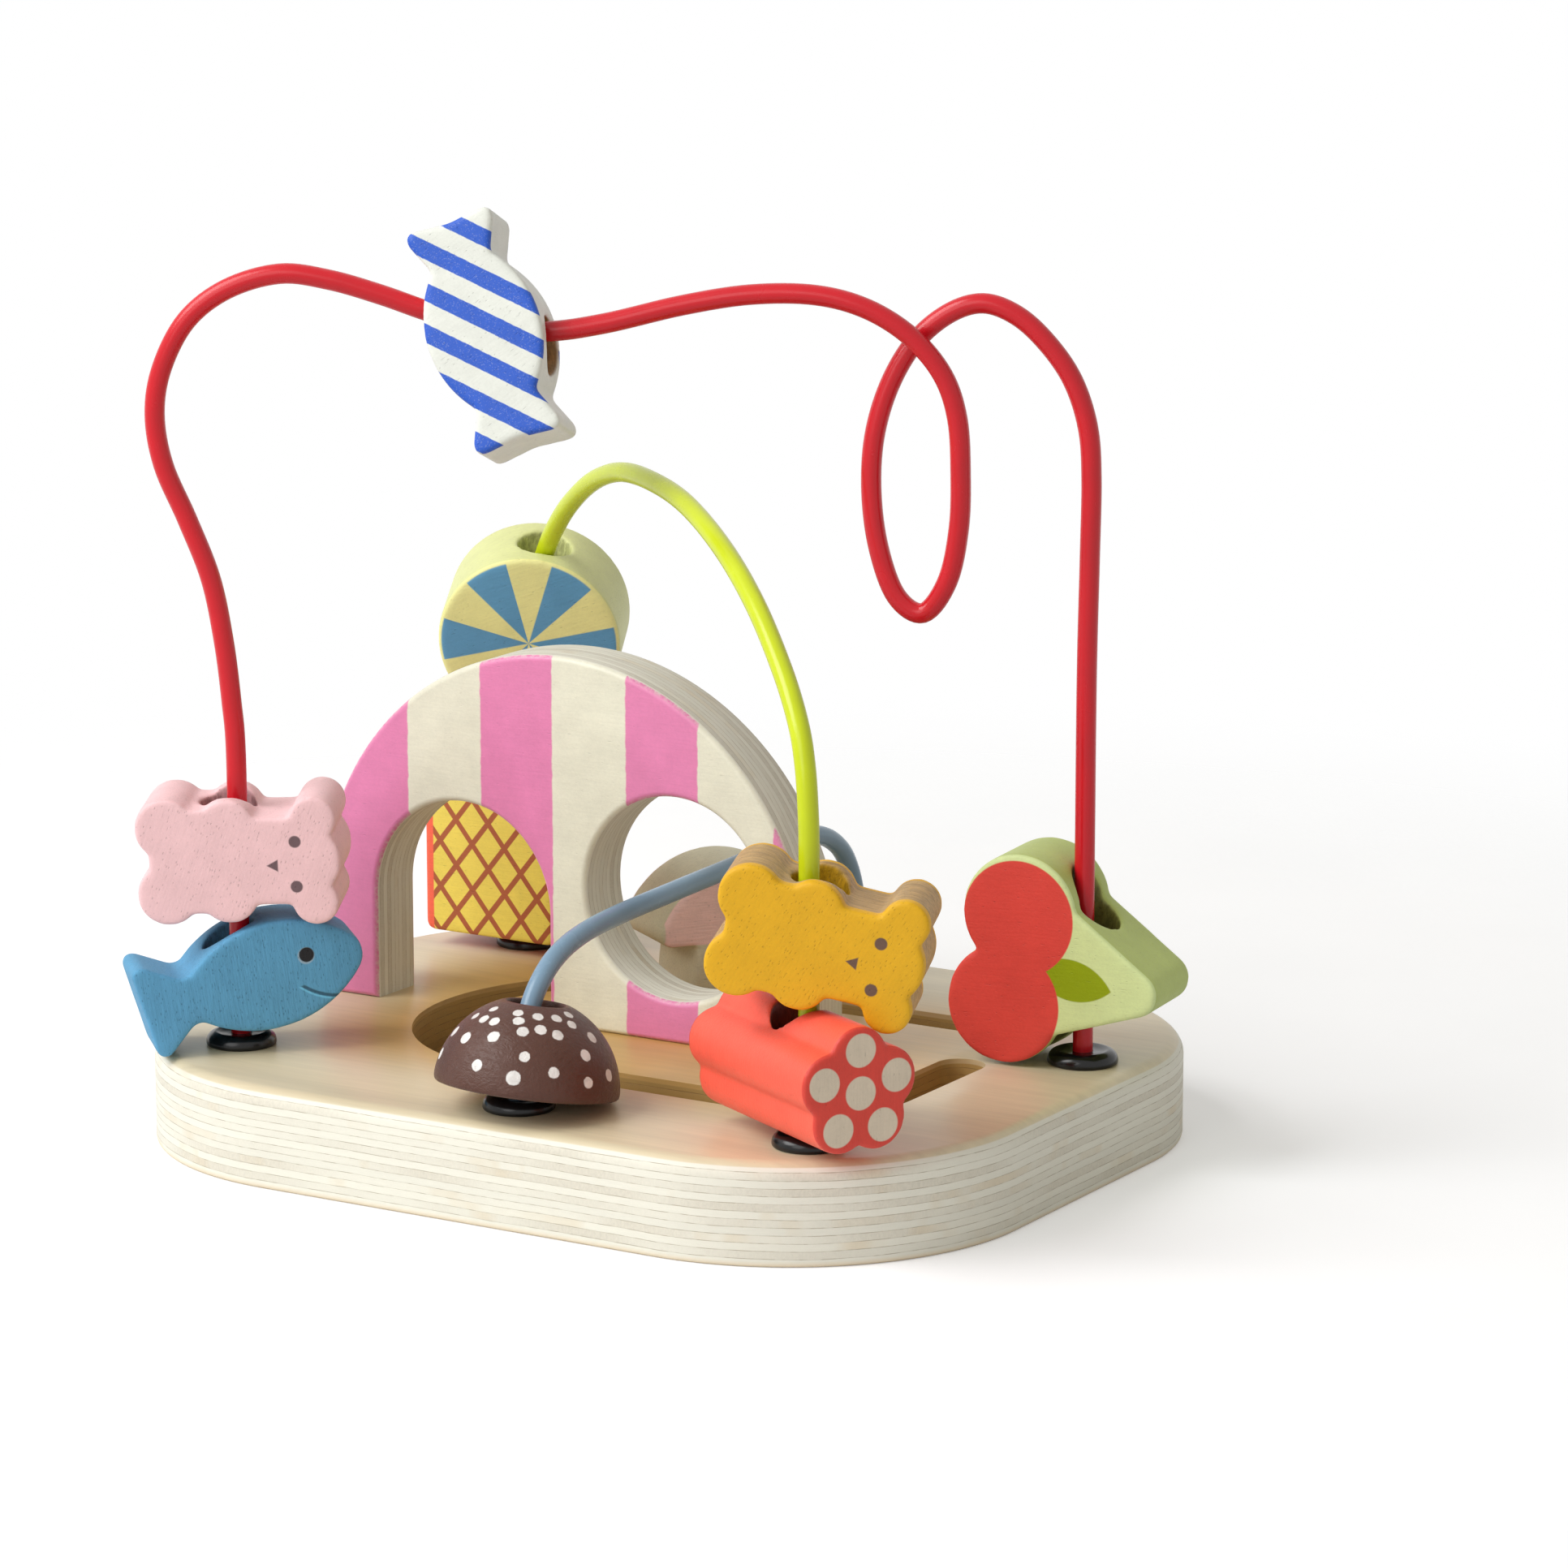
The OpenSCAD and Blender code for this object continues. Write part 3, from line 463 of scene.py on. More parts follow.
class Desk:
    """Places shader nodes in a tree and joins them.

    The desk of a material also holds the material, its shader and the place on the piece in mm.
    """

    def __init__(self, tree):
        self.tree = tree
        self.material = self.shader = self.where = None

    def add(self, kind, **settings):
        """A new node with its settings."""
        node = self.tree.nodes.new(kind)
        for name, value in settings.items():
            setattr(node, name, value)
        return node

    def feed(self, socket, value):
        """Joins a socket to a value of the tree, or sets it."""
        if isinstance(value, Value):
            self.tree.links.new(value.socket, socket)
        elif socket.type == 'RGBA' and len(value) == 3:
            socket.default_value = (*value, 1.0)
        else:
            socket.default_value = value

    def feed_all(self, node, values):
        """Feeds a node's inputs, which are named or numbered; underscores stand for spaces."""
        for key, value in values:
            self.feed(node.inputs[key.replace("_", " ") if isinstance(key, str) else key], value)

    def outputs(self, node):
        """A node's outputs by name."""
        return {socket.name: Value(self, socket) for socket in node.outputs}

    def sum(self, operation, *values, clamp=False):
        """One step of arithmetic."""
        node = self.add('ShaderNodeMath', operation=operation, use_clamp=clamp)
        self.feed_all(node, enumerate(values))
        return Value(self, node.outputs[0])

    def hypot(self, a, b):
        """The distance that two parts at right angles make."""
        return self.sum('SQRT', a * a + b * b)

    def vector(self, operation, *values):
        """One step of arithmetic with vectors."""
        node = self.add('ShaderNodeVectorMath', operation=operation)
        self.feed_all(node, enumerate(values))
        return Value(self, node.outputs[1 if operation in ('LENGTH', 'DISTANCE') else 0])

    def scaled(self, colour, factor):
        """A colour made darker or lighter by a value."""
        node = self.add('ShaderNodeVectorMath', operation='SCALE')
        self.feed_all(node, ((0, colour), ('Scale', factor)))
        return Value(self, node.outputs[0])

    def blend(self, factor, a, b, way='MIX'):
        """One colour over another."""
        node = self.add('ShaderNodeMix', data_type='RGBA', blend_type=way)
        self.feed_all(node, ((0, factor), (6, a), (7, b)))
        return Value(self, node.outputs[2])

    def noise(self, vector, scale, detail=2.0, roughness=0.5, distortion=0.0):
        """Soft noise."""
        node = self.add('ShaderNodeTexNoise')
        self.feed_all(node, (('Vector', vector), ('Scale', scale), ('Detail', detail),
                             ('Roughness', roughness), ('Distortion', distortion)))
        return Value(self, node.outputs['Fac'])

    def stretch(self, vector, scale, turn=(0, 0, 0)):
        """The vector stretched, then turned."""
        node = self.add('ShaderNodeMapping', vector_type='POINT')
        self.feed_all(node, (('Vector', vector), ('Rotation', turn), ('Scale', scale)))
        return Value(self, node.outputs['Vector'])

    def split(self, vector):
        """The three parts of a vector."""
        node = self.add('ShaderNodeSeparateXYZ')
        self.feed(node.inputs[0], vector)
        return self.outputs(node).values()

    def group(self, name, **values):
        """The outputs of a node group with its inputs set."""
        node = self.add('ShaderNodeGroup', node_tree=bpy.data.node_groups[name])
        self.feed_all(node, values.items())
        return self.outputs(node)

    def disc(self, u, v, centre_u, centre_v, radius):
        """Mask of a round mark."""
        return self.group("Disc Mark", U=u, V=v, Centre_U=centre_u, Centre_V=centre_v,
                          Radius=radius)['Mask']


FLOAT, VECTOR, COLOUR = 'NodeSocketFloat', 'NodeSocketVector', 'NodeSocketColor'
WHITE, BLACK = (1, 1, 1, 1), (0, 0, 0, 1)
MASK = (("Mask", FLOAT),)
SKIN = (("Color", COLOUR), ("Roughness", FLOAT), ("Height", FLOAT))


def new_group(name, inputs, outputs):
    """An empty node group with its sockets: its desk, the values given to it and its end node."""
    tree = bpy.data.node_groups.new(name, 'ShaderNodeTree')
    for label, kind, default in inputs:
        socket = tree.interface.new_socket(name=label, in_out='INPUT', socket_type=kind)
        if default is not None:
            socket.default_value = default
    for label, kind in outputs:
        tree.interface.new_socket(name=label, in_out='OUTPUT', socket_type=kind)
    desk = Desk(tree)
    return desk, desk.outputs(desk.add('NodeGroupInput')), desk.add('NodeGroupOutput')


def group_disc():
    """A round mark on a flat face."""
    desk, given, end = new_group(
        "Disc Mark",
        (("U", FLOAT, 0.0), ("V", FLOAT, 0.0), ("Centre U", FLOAT, 0.0), ("Centre V", FLOAT, 0.0),
         ("Radius", FLOAT, 1.0), ("Soft", FLOAT, 0.12)), MASK)
    far = desk.hypot(given['U'] - given['Centre U'], given['V'] - given['Centre V'])
    inside = given['Radius'] - far
    desk.feed(end.inputs['Mask'], inside.ramp(given['Soft'] * -1.0, given['Soft']))


def group_pores():
    """Small pores of painted wood, one in some of the cells of a grid."""
    desk, given, end = new_group(
        "Pores", (("Vector", VECTOR, None), ("Radius", FLOAT, 0.16), ("Share", FLOAT, 0.5)), MASK)
    node = desk.add('ShaderNodeTexVoronoi', feature='F1', distance='EUCLIDEAN')
    desk.feed_all(node, (('Vector', given['Vector']), ('Scale', 1.0)))
    cells = desk.outputs(node)
    hole = cells['Distance'].ramp(given['Radius'], given['Radius'] * 0.45)
    chance, strength, _ = desk.split(cells['Color'])
    kept = desk.sum('LESS_THAN', chance, given['Share'])
    desk.feed(end.inputs['Mask'], hole * kept * strength.ramp(0, 1, 0.35, 1))


def group_bore():
    """Mask of a bead's bore: points close to a line."""
    desk, given, end = new_group(
        "Bore Mask",
        (("Vector", VECTOR, None), ("Point", VECTOR, None), ("Axis", VECTOR, None),
         ("Radius", FLOAT, 5.7)), MASK)
    arm = desk.vector('SUBTRACT', given['Vector'], given['Point'])
    far = desk.vector('LENGTH', desk.vector('CROSS_PRODUCT', arm, given['Axis']))
    desk.feed(end.inputs['Mask'], (given['Radius'] - far).ramp(-0.15, 0.15))


def group_paint():
    """Thin paint on wood: mottling, grain that shows through, pores and a bumpy skin."""
    desk, given, end = new_group(
        "Painted Wood",
        (("Vector", VECTOR, None), ("Paint", COLOUR, WHITE), ("Pores", FLOAT, 0.5),
         ("Depth", FLOAT, 0.4), ("Grain", FLOAT, 0.3), ("Gloss", FLOAT, 0.5),
         ("Angle", FLOAT, 0.0)), SKIN)
    turned = desk.add('ShaderNodeVectorRotate', rotation_type='AXIS_ANGLE')
    desk.feed_all(turned, (('Vector', given['Vector']), ('Axis', (0, 1, 0)),
                           ('Angle', given['Angle'])))
    local = Value(desk, turned.outputs[0])
    streaks = desk.noise(desk.stretch(local, (0.16, 2.2, 2.2)), 1.0, 4.0, 0.6)
    mottle = desk.noise(given['Vector'], 0.16, 3.0, 0.6)
    fine = desk.noise(given['Vector'], 1.9, 2.0, 0.6)
    short = desk.group("Pores", Vector=desk.stretch(local, (0.8, 1.7, 1.7)), Radius=0.24,
                       Share=given['Pores'])
    long = desk.group("Pores", Vector=desk.stretch(local, (0.42, 2.3, 2.3)), Radius=0.27,
                      Share=given['Pores'] * given['Grain'])
    pores = desk.sum('MAXIMUM', short['Mask'], long['Mask'])
    grain = streaks.ramp(0.42, 0.62) * given['Grain']
    light = mottle.ramp(0.3, 0.7, 0.95, 1.04) + fine.ramp(0.3, 0.7, -0.025, 0.025)
    shade = (light - grain * 0.13) * (1.0 - pores * given['Depth'])
    rough = given['Gloss'] + fine.ramp(0.3, 0.7, -0.06, 0.08)
    desk.feed_all(end, (
        ('Color', desk.scaled(given['Paint'], shade)),
        ('Roughness', desk.sum('ADD', rough, pores * 0.2, clamp=True)),
        ('Height', pores * -0.5 + grain * -0.3 + fine * 0.25)))


def group_ply():
    """Layers of plywood seen at their edges, with fibres, stains and broken glue lines."""
    desk, given, end = new_group(
        "Ply Edge",
        (("Depth", FLOAT, 0.0), ("Thickness", FLOAT, 1.5), ("Vector", VECTOR, None),
         ("Light", COLOUR, WHITE), ("Dark", COLOUR, WHITE), ("Glue", COLOUR, BLACK),
         ("Stain", COLOUR, WHITE)),
        (("Color", COLOUR), ("Height", FLOAT)))
    where = given['Vector']
    wave = desk.noise(where, 0.05, 2.0).ramp(0.3, 0.7, -0.1, 0.1)
    layer = (given['Depth'] + wave) / given['Thickness']
    number = desk.sum('FLOOR', layer)
    part = layer - number
    odd = desk.sum('MODULO', abs(number), 2.0)
    dice = desk.add('ShaderNodeTexWhiteNoise', noise_dimensions='1D')
    desk.feed(dice.inputs['W'], number)
    chance = desk.outputs(dice)['Value']
    fibres = desk.noise(desk.stretch(where, (0.3, 0.3, 3.0)), 1.0, 4.0, 0.65)
    ends = desk.noise(desk.stretch(where, (2.0, 2.0, 1.3)), 1.0, 3.0, 0.6)

    # Each layer reads its own level of the noise, so stains stop at the glue lines
    x, y, _ = desk.split(where)
    join = desk.add('ShaderNodeCombineXYZ')
    desk.feed_all(join, enumerate((x, y, number * 37.0)))
    lane = Value(desk, join.outputs[0])
    patch = desk.noise(lane, 0.025, 2.0).ramp(0.42, 0.62, 0.15, 1.0)
    dull = desk.sum('MULTIPLY_ADD', odd, 0.9, 0.1) * patch
    base = desk.blend(dull, given['Light'], given['Dark'])
    stain = desk.noise(lane, 0.04, 3.0, 0.6, 0.3)
    base = desk.blend(stain.ramp(0.58, 0.72, 0.0, 0.5), base, given['Stain'])
    streak = desk.blend(dull, fibres.ramp(0.35, 0.7, 1.01, 0.97), ends.ramp(0.36, 0.68, 1.02, 0.92))
    level = streak + chance.ramp(0.0, 1.0, -0.025, 0.02)

    edge = desk.sum('MINIMUM', part, 1.0 - part)
    gaps = desk.noise(desk.stretch(where, (0.4, 0.4, 2.0)), 1.0, 2.0).ramp(0.42, 0.6)
    line = edge.ramp(0.06, 0.012) * desk.sum('MULTIPLY_ADD', gaps, 0.5, 0.3)
    desk.feed_all(end, (('Color', desk.blend(line, desk.scaled(base, level), given['Glue'])),
                        ('Height', ends * 0.4 - line * 0.6)))


def group_coat():
    """Smooth plastic or lacquer with faint waves and fine scratches."""
    desk, given, end = new_group(
        "Plastic Coat",
        (("Vector", VECTOR, None), ("Coat", COLOUR, WHITE), ("Gloss", FLOAT, 0.2)), SKIN)
    cloud = desk.noise(given['Vector'], 0.09, 3.0, 0.6)
    skin = desk.noise(given['Vector'], 0.7, 2.0, 0.5)
    drawn = desk.stretch(given['Vector'], (1.2, 1.2, 0.15), (0.4, 0.3, 0.2))
    lines = desk.noise(drawn, 2.0, 2.0, 0.5, 1.5).ramp(0.64, 0.7)
    rough = given['Gloss'] + cloud.ramp(0.3, 0.7, -0.04, 0.06)
    desk.feed_all(end, (
        ('Color', desk.scaled(given['Coat'], cloud.ramp(0.3, 0.7, 0.95, 1.04))),
        ('Roughness', desk.sum('ADD', rough, lines * 0.03, clamp=True)),
        ('Height', skin * 0.2 + lines * -0.03)))


def make_groups():
    """All shared effects, made once."""
    for build in (group_disc, group_pores, group_bore, group_paint, group_ply, group_coat):
        build()


def start_material(name, node=None):
    """The desk of a new material, with the place in mm in a bead's own frame or in the part's."""
    material = bpy.data.materials.new(name)
    material.use_nodes = True
    desk = Desk(material.node_tree)
    desk.material = material
    desk.shader = material.node_tree.nodes['Principled BSDF']
    matrix = seat(node) if node else Matrix.Identity(4)
    mapping = desk.add('ShaderNodeMapping', vector_type='TEXTURE')
    desk.feed_all(mapping, (
        ('Vector', desk.outputs(desk.add('ShaderNodeTexCoord'))['Object']),
        ('Location', matrix.to_translation()), ('Rotation', matrix.to_euler('XYZ')),
        ('Scale', (MM, MM, MM))))
    desk.where = Value(desk, mapping.outputs['Vector'])
    return desk


def on_faces(depth, half, margin=0.9):
    """Mask of a flat bead's two faces, wrapped a little round their edges."""
    inside = half - margin
    return abs(depth).ramp(inside - 0.12, inside + 0.12)


def start_bead(name, node, half, margin=0.9):
    """The desk of a flat bead's paint, with the places across and up and the mask of its faces."""
    desk = start_material(name, node)
    u, depth, v = desk.split(desk.where)
    return desk, u, v, on_faces(depth, half, margin)


def put_surface(desk, colour, roughness, height, strength, **shine):
    """Joins colour, roughness and bump to the shader, sets its shine and gives the material."""
    bump = desk.add('ShaderNodeBump')
    desk.feed_all(bump, (('Strength', strength), ('Distance', BUMP_REACH), ('Height', height)))
    desk.feed_all(desk.shader, (('Base Color', colour), ('Roughness', roughness),
                                ('Normal', Value(desk, bump.outputs['Normal']))))
    desk.feed_all(desk.shader, shine.items())
    return desk.material


def painted(desk, paint, groove=None, **finish):
    """Finishes a material as thin paint on wood, with a groove cut in where one is given."""
    skin = desk.group("Painted Wood", Vector=desk.where, Paint=paint, **finish)
    height = skin['Height'] if groove is None else skin['Height'] - groove
    return put_surface(desk, skin['Color'], skin['Roughness'], height, 0.4, Specular_IOR_Level=0.3)


def bored(desk, paint, inner, point=(0, 0, 0), axis=(0, 0, 1)):
    """Paint that gives way in the bead's bore to a fibrous inner colour, partly the bore's own
    rough colour and partly painted shade.
    """
    mask = desk.group("Bore Mask", Vector=desk.where, Point=point, Axis=axis)['Mask']
    fibre = desk.noise(desk.stretch(desk.where, (1.4, 1.4, 0.5)), 1.0, 3.0, 0.6)
    # Painted shade: the inner colour is darker than the paint on most beads
    return desk.blend(mask, paint, desk.blend(fibre.ramp(0.35, 0.65), inner, tone(inner, 0.6)))


def bear_material(name, node, colour, colours, worn):
    """Paint of a bear, with two eyes and a nose on its faces."""
    desk, u, v, face = start_bead(name, node, half=9.0, margin=2.3 if worn else 1.4)
    paint = colour
    if worn:
        wood = desk.noise(desk.stretch(desk.where, (0.1, 1.2, 0.9)), 1.0, 4.0, 0.65)
        bare = desk.blend(wood.ramp(0.35, 0.65), colours.raw_wood, tone(colours.raw_wood, 0.62))
        paint = desk.blend(face, bare, colour)
    eyes = desk.sum('MAXIMUM', *(desk.disc(u, v, *eye) for eye in BEAR_EYES))
    nose = desk.sum('MINIMUM', (u - BEAR_NOSE_TIP) * 0.55 - abs(v - BEAR_NOSE_MIDDLE),
                    BEAR_NOSE_TOP - u)
    marks = desk.sum('MAXIMUM', eyes, nose.ramp(-0.1, 0.15)) * face
    paint = bored(desk, desk.blend(marks * 0.92, paint, colours.ink), tone(colour, 0.75))
    return painted(desk, paint, Pores=0.85 if worn else 0.6, Depth=0.3, Grain=0.25, Gloss=0.5,
                   Angle=1.2)


def fish_material(colours):
    """Matte blue paint with open grain, a dark eye with a painted highlight on its rim, and an
    engraved mouth with painted shade in its groove and a painted highlight below it.
    """
    desk, u, v, face = start_bead("fish_paint", "blue_fish", half=9.0)
    eye_highlight, eye = (desk.disc(u, v, *mark) for mark in (FISH_EYE_HIGHLIGHT, FISH_EYE))
    mouth_u, mouth_v, mouth_radius = FISH_MOUTH
    off = desk.hypot(u - mouth_u, v - mouth_v) - mouth_radius
    near = v.ramp(-3.6, -4.0) * u.ramp(19.2, 18.6) * face
    mouth = abs(off).ramp(0.42, 0.2) * near
    mouth_highlight = abs(off - 0.55).ramp(0.3, 0.1) * near
    # Painted highlight: a pale crescent at the lower left of the eye's rim
    paint = desk.blend(eye_highlight * face * 0.45, colours.fish, (0.6, 0.64, 0.66))
    paint = desk.blend(eye * face, paint, (0.012, 0.012, 0.014))
    # Painted shade darkens the engraved mouth's groove, which the bump also cuts in, and a painted
    # highlight runs along its lower edge
    paint = desk.blend(mouth * 0.85, paint, tone(colours.fish, 0.22))
    paint = desk.blend(mouth_highlight * 0.6, paint, tone(colours.fish, 1.9))
    return painted(desk, bored(desk, paint, tone(colours.fish, 0.7)), mouth * 2.0,
                   Pores=0.8, Depth=0.42, Grain=0.7, Gloss=0.6, Angle=1.45)


def candy_material(colours):
    """White paint with slanted blue stripes on the faces."""
    desk, u, v, face = start_bead("candy_paint", "striped_candy", half=8.5, margin=1.1)
    along = u * math.sin(CANDY_SLANT) + v * math.cos(CANDY_SLANT)
    wobble = desk.noise(desk.where, 0.9, 2.0).ramp(0.3, 0.7, -0.05, 0.05)
    part = desk.sum('FRACT', (along + wobble + CANDY_SHIFT) / CANDY_PERIOD)
    edge = abs(part - 0.5) * CANDY_PERIOD
    grain = desk.noise(desk.where, 3.6, 2.0).ramp(0.3, 0.42, 0.84, 1.0)
    stripe = edge.ramp(1.72, 1.56) * grain * face
    paint = desk.blend(stripe, colours.candy_white, colours.candy_blue)
    paint = bored(desk, paint, tone(colours.raw_wood, 0.75), axis=CANDY_BORE)
    return painted(desk, paint, Pores=0.35, Depth=0.25, Grain=0.2, Gloss=0.42, Angle=0.3)


def cherry_material(colours):
    """Green paint with two red cherries and a leaf printed on the faces."""
    desk, u, v, face = start_bead("cherry_paint", "cherry_block", half=9.4)
    cherries = desk.sum('MAXIMUM', *(desk.disc(u, v, *mark) for mark in CHERRIES))
    leaf = desk.sum('MULTIPLY', *(desk.disc(u, v, *mark) for mark in LEAF_ARCS))
    paint = desk.blend(face, colours.cherry_green, colours.cherry_face)
    paint = desk.blend(leaf * face, paint, colours.cherry_leaf)
    paint = desk.blend(cherries * face, paint, colours.cherry_red)
    paint = bored(desk, paint, linear(130, 134, 66))
    return painted(desk, paint, Pores=0.3, Depth=0.2, Grain=0.2, Gloss=0.45, Angle=0.2)


def wheel_material(colours):
    """Pale paint with blue wedges printed on the faces."""
    desk, u, v, face = start_bead("wheel_paint", "wheel_candy", half=10.0, margin=0.7)
    part = desk.sum('FRACT', (desk.sum('ARCTAN2', u, v) + WHEEL_PHASE) / WHEEL_PERIOD)
    far = desk.hypot(u, v)
    edge = (abs(part - 0.75) - 0.25) * far
    wedge = edge.ramp(0.1, -0.1) * far.ramp(18.5, 18.2) * face
    paint = desk.blend(face, colours.wheel_side, colours.wheel_yellow)
    paint = desk.blend(wedge, paint, colours.wheel_blue)
    paint = bored(desk, paint, colours.wheel_side)
    return painted(desk, paint, Pores=0.3, Depth=0.18, Grain=0.3, Gloss=0.42, Angle=0.5)


def ice_material(colours):
    """Red paint with a waffle lattice printed on the faces."""
    desk, u, v, face = start_bead("ice_cream_paint", "ice_cream", half=11.0)
    u = u - ICE_BORE
    across, up = u / WAFFLE_WIDTH, v / WAFFLE_HEIGHT
    lines = (abs(desk.sum('FRACT', way + 20.0) - 0.5) for way in (across + up, across - up))
    line = desk.sum('MINIMUM', *lines).ramp(0.105, 0.085)
    waffle = abs(u - 0.8).ramp(14.9, 14.7) * v.ramp(30.2, 29.9) * face
    paint = desk.blend(waffle, colours.ice_red,
                       desk.blend(line, colours.ice_waffle, colours.ice_line))
    paint = bored(desk, paint, tone(colours.ice_red, 0.7), point=(ICE_BORE, 0, 0))
    return painted(desk, paint, Pores=0.3, Depth=0.25, Grain=0.3, Gloss=0.45)


def log_material(colours):
    """Coral paint with pale discs printed on the ends."""
    desk, u, v, face = start_bead("log_paint", "licorice_log", half=21.75)
    discs = desk.disc(u, v, 0.0, 0.0, LOG_DISC)
    for count in range(LOG_LOBES):
        angle = QUARTER + 2 * math.pi * count / LOG_LOBES
        lobe = desk.disc(u, v, LOG_RING * math.cos(angle), LOG_RING * math.sin(angle), LOG_DISC)
        discs = desk.sum('MAXIMUM', discs, lobe)
    paint = desk.blend(face, colours.log_side, colours.log_face)
    paint = desk.blend(discs * face, paint, colours.log_dot)
    # Painted shade: the log's bore is painted very dark
    paint = bored(desk, paint, tone(colours.log_side, 0.25))
    return painted(desk, paint, Pores=0.25, Depth=0.2, Grain=0.3, Gloss=0.4, Angle=QUARTER)


def dome_material(colours):
    """Leathery chocolate paint with printed dots, the same on the front and the back."""
    desk = start_material("dome_paint", "chocolate_dome")
    gaps = []
    for polar, spin, size in DOTS:
        for turn in (0, 180):
            far, way = math.radians(polar), math.radians(spin + turn)
            spot = Vector((math.sin(far) * math.cos(way), math.sin(far) * math.sin(way),
                           math.cos(far))) * DOT_REACH
            gaps.append(desk.vector('DISTANCE', desk.where, spot) - size)
    nearest = gaps[0]
    for gap in gaps[1:]:
        nearest = desk.sum('MINIMUM', nearest, gap)
    smudge = desk.noise(desk.where, 1.1, 3.0, 0.6).ramp(0.3, 0.7, -0.1, 0.1)
    faded = desk.noise(desk.where, 0.35, 2.0).ramp(0.36, 0.6, 0.82, 1.0)
    dot = (nearest + smudge).ramp(0.1, -0.1) * faded
    wrinkle = desk.noise(desk.stretch(desk.where, (0.5, 0.5, 0.9)), 1.0, 4.0, 0.65, 1.2)
    return painted(desk, desk.blend(dot, colours.chocolate, colours.dots), wrinkle * 1.6,
                   Pores=0.15, Depth=0.2, Grain=0.15, Gloss=0.36)


def mushroom_material(colours):
    """Cream wood with a pink print on the cap's faces."""
    desk, u, v, face = start_bead("mushroom_paint", "mushroom", half=10.0)
    cap = face * v.ramp(12.2, 12.5) * abs(u).ramp(18.2, 17.9)
    paint = desk.blend(cap, colours.mushroom_wood, colours.mushroom_cap)
    return painted(desk, paint, Pores=0.35, Depth=0.3, Grain=0.6, Gloss=0.5)


def board_material(colours):
    """Plywood: a lacquered veneer on top, warmer towards the middle from painted reflection and
    shade, and bare layers at the edges and in the slot, darker in the slot from burn of the cut and
    painted shade.
    """
    desk = start_material("birch_ply")
    where = desk.where
    x, y, z = desk.split(where)
    layers = desk.group("Ply Edge", Depth=z - 0.2, Thickness=1.5, Vector=where,
                        Light=colours.ply_light, Dark=colours.ply_dark,
                        Glue=linear(150, 134, 108), Stain=linear(218, 196, 158))
    far = desk.hypot(*(desk.sum('MAXIMUM', abs(place) - half, 0.0)
                       for place, half in ((x, BOARD_CORE_X), (y, BOARD_CORE_Y))))
    # Darker, warmer plies away from the outer edge, in the slot and the holes: partly burn of the
    # cut, partly painted shade of the recess
    burnt_and_shaded = desk.blend(1.0, layers['Color'], linear(196, 160, 98), 'MULTIPLY')
    bare = desk.blend(far.ramp(46.0, 45.0), layers['Color'], burnt_and_shaded)
    bare = desk.blend(z.ramp(1.3, 0.4, 0.0, 0.45), bare, linear(226, 194, 140))
    grain = desk.noise(desk.stretch(where, (0.03, 0.6, 0.6)), 1.0, 5.0, 0.6)
    flame = desk.noise(desk.stretch(where, (0.012, 0.09, 0.09)), 1.0, 3.0, 0.5, 0.6)
    pores = desk.group("Pores", Vector=desk.stretch(where, (0.22, 1.6, 1.6)), Radius=0.13,
                       Share=0.3)['Mask']
    shade = grain.ramp(0.35, 0.65, 1.03, 0.95) * flame.ramp(0.35, 0.65, 1.04, 0.93)
    # Painted reflection and shade: the veneer turns warm and golden towards the middle of the board
    veneer = desk.blend(far.ramp(2.0, 32.0, soft=True), colours.veneer_painted_reflection, colours.veneer)
    veneer = desk.blend(pores * 0.3, desk.scaled(veneer, shade), tone(colours.veneer, 0.55))
    top = z.ramp(18.9, 19.1)
    height = layers['Height'] * (1.0 - top) + (grain + pores * -0.6) * (top * 0.35)
    rough = desk.blend(top, (0.62, 0.62, 0.62), (0.4, 0.4, 0.4))
    return put_surface(desk, desk.blend(top, bare, veneer), rough, height, 0.3,
                       Coat_Weight=0.12, Coat_Roughness=0.25)


def arch_material(colours):
    """Pink and cream stripes printed on the plywood arch, with worn edges."""
    desk = start_material("arch_print")
    where = desk.where
    x, y, _ = desk.split(where)
    at = x + desk.noise(where, 0.5, 2.0).ramp(0.3, 0.7, -0.12, 0.12)
    bands = [at.ramp(low - 0.15, low + 0.15) * at.ramp(high + 0.15, high - 0.15)
             for low, high in ARCH_STRIPES]
    pink = bands[0]
    for band in bands[1:]:
        pink = pink + band
    paint = desk.blend(pink, colours.arch_cream, colours.arch_pink)
    layers = desk.group("Ply Edge", Depth=y + ARCH_HALF, Thickness=1.3,
                        Vector=desk.stretch(where, (1, 1, 1), (QUARTER, 0, 0)),
                        Light=tone(colours.ply_light, 0.92), Dark=tone(colours.ply_dark, 0.86),
                        Glue=linear(150, 132, 104), Stain=linear(206, 186, 150))
    worn = abs(y).ramp(6.9, 6.3) * desk.noise(where, 1.2, 3.0, 0.7).ramp(0.42, 0.6) * 0.6
    skin = desk.group("Painted Wood", Vector=where,
                      Paint=desk.blend(worn, paint, colours.ply_light),
                      Pores=0.12, Depth=0.15, Grain=0.2, Gloss=0.4)
    face = on_faces(y, ARCH_HALF, 0.8)
    colour = desk.blend(face, layers['Color'], skin['Color'])
    rough = desk.blend(face, (0.65, 0.65, 0.65), skin['Roughness'])
    return put_surface(desk, colour, rough, desk.blend(face, layers['Height'], skin['Height']), 0.3)


def coat_material(name, colour, gloss):
    """Glossy plastic coat of a wire or a collar."""
    desk = start_material(name)
    skin = desk.group("Plastic Coat", Vector=desk.where, Coat=colour, Gloss=gloss)
    return put_surface(desk, skin['Color'], skin['Roughness'], skin['Height'], 0.015,
                       Specular_IOR_Level=0.37)


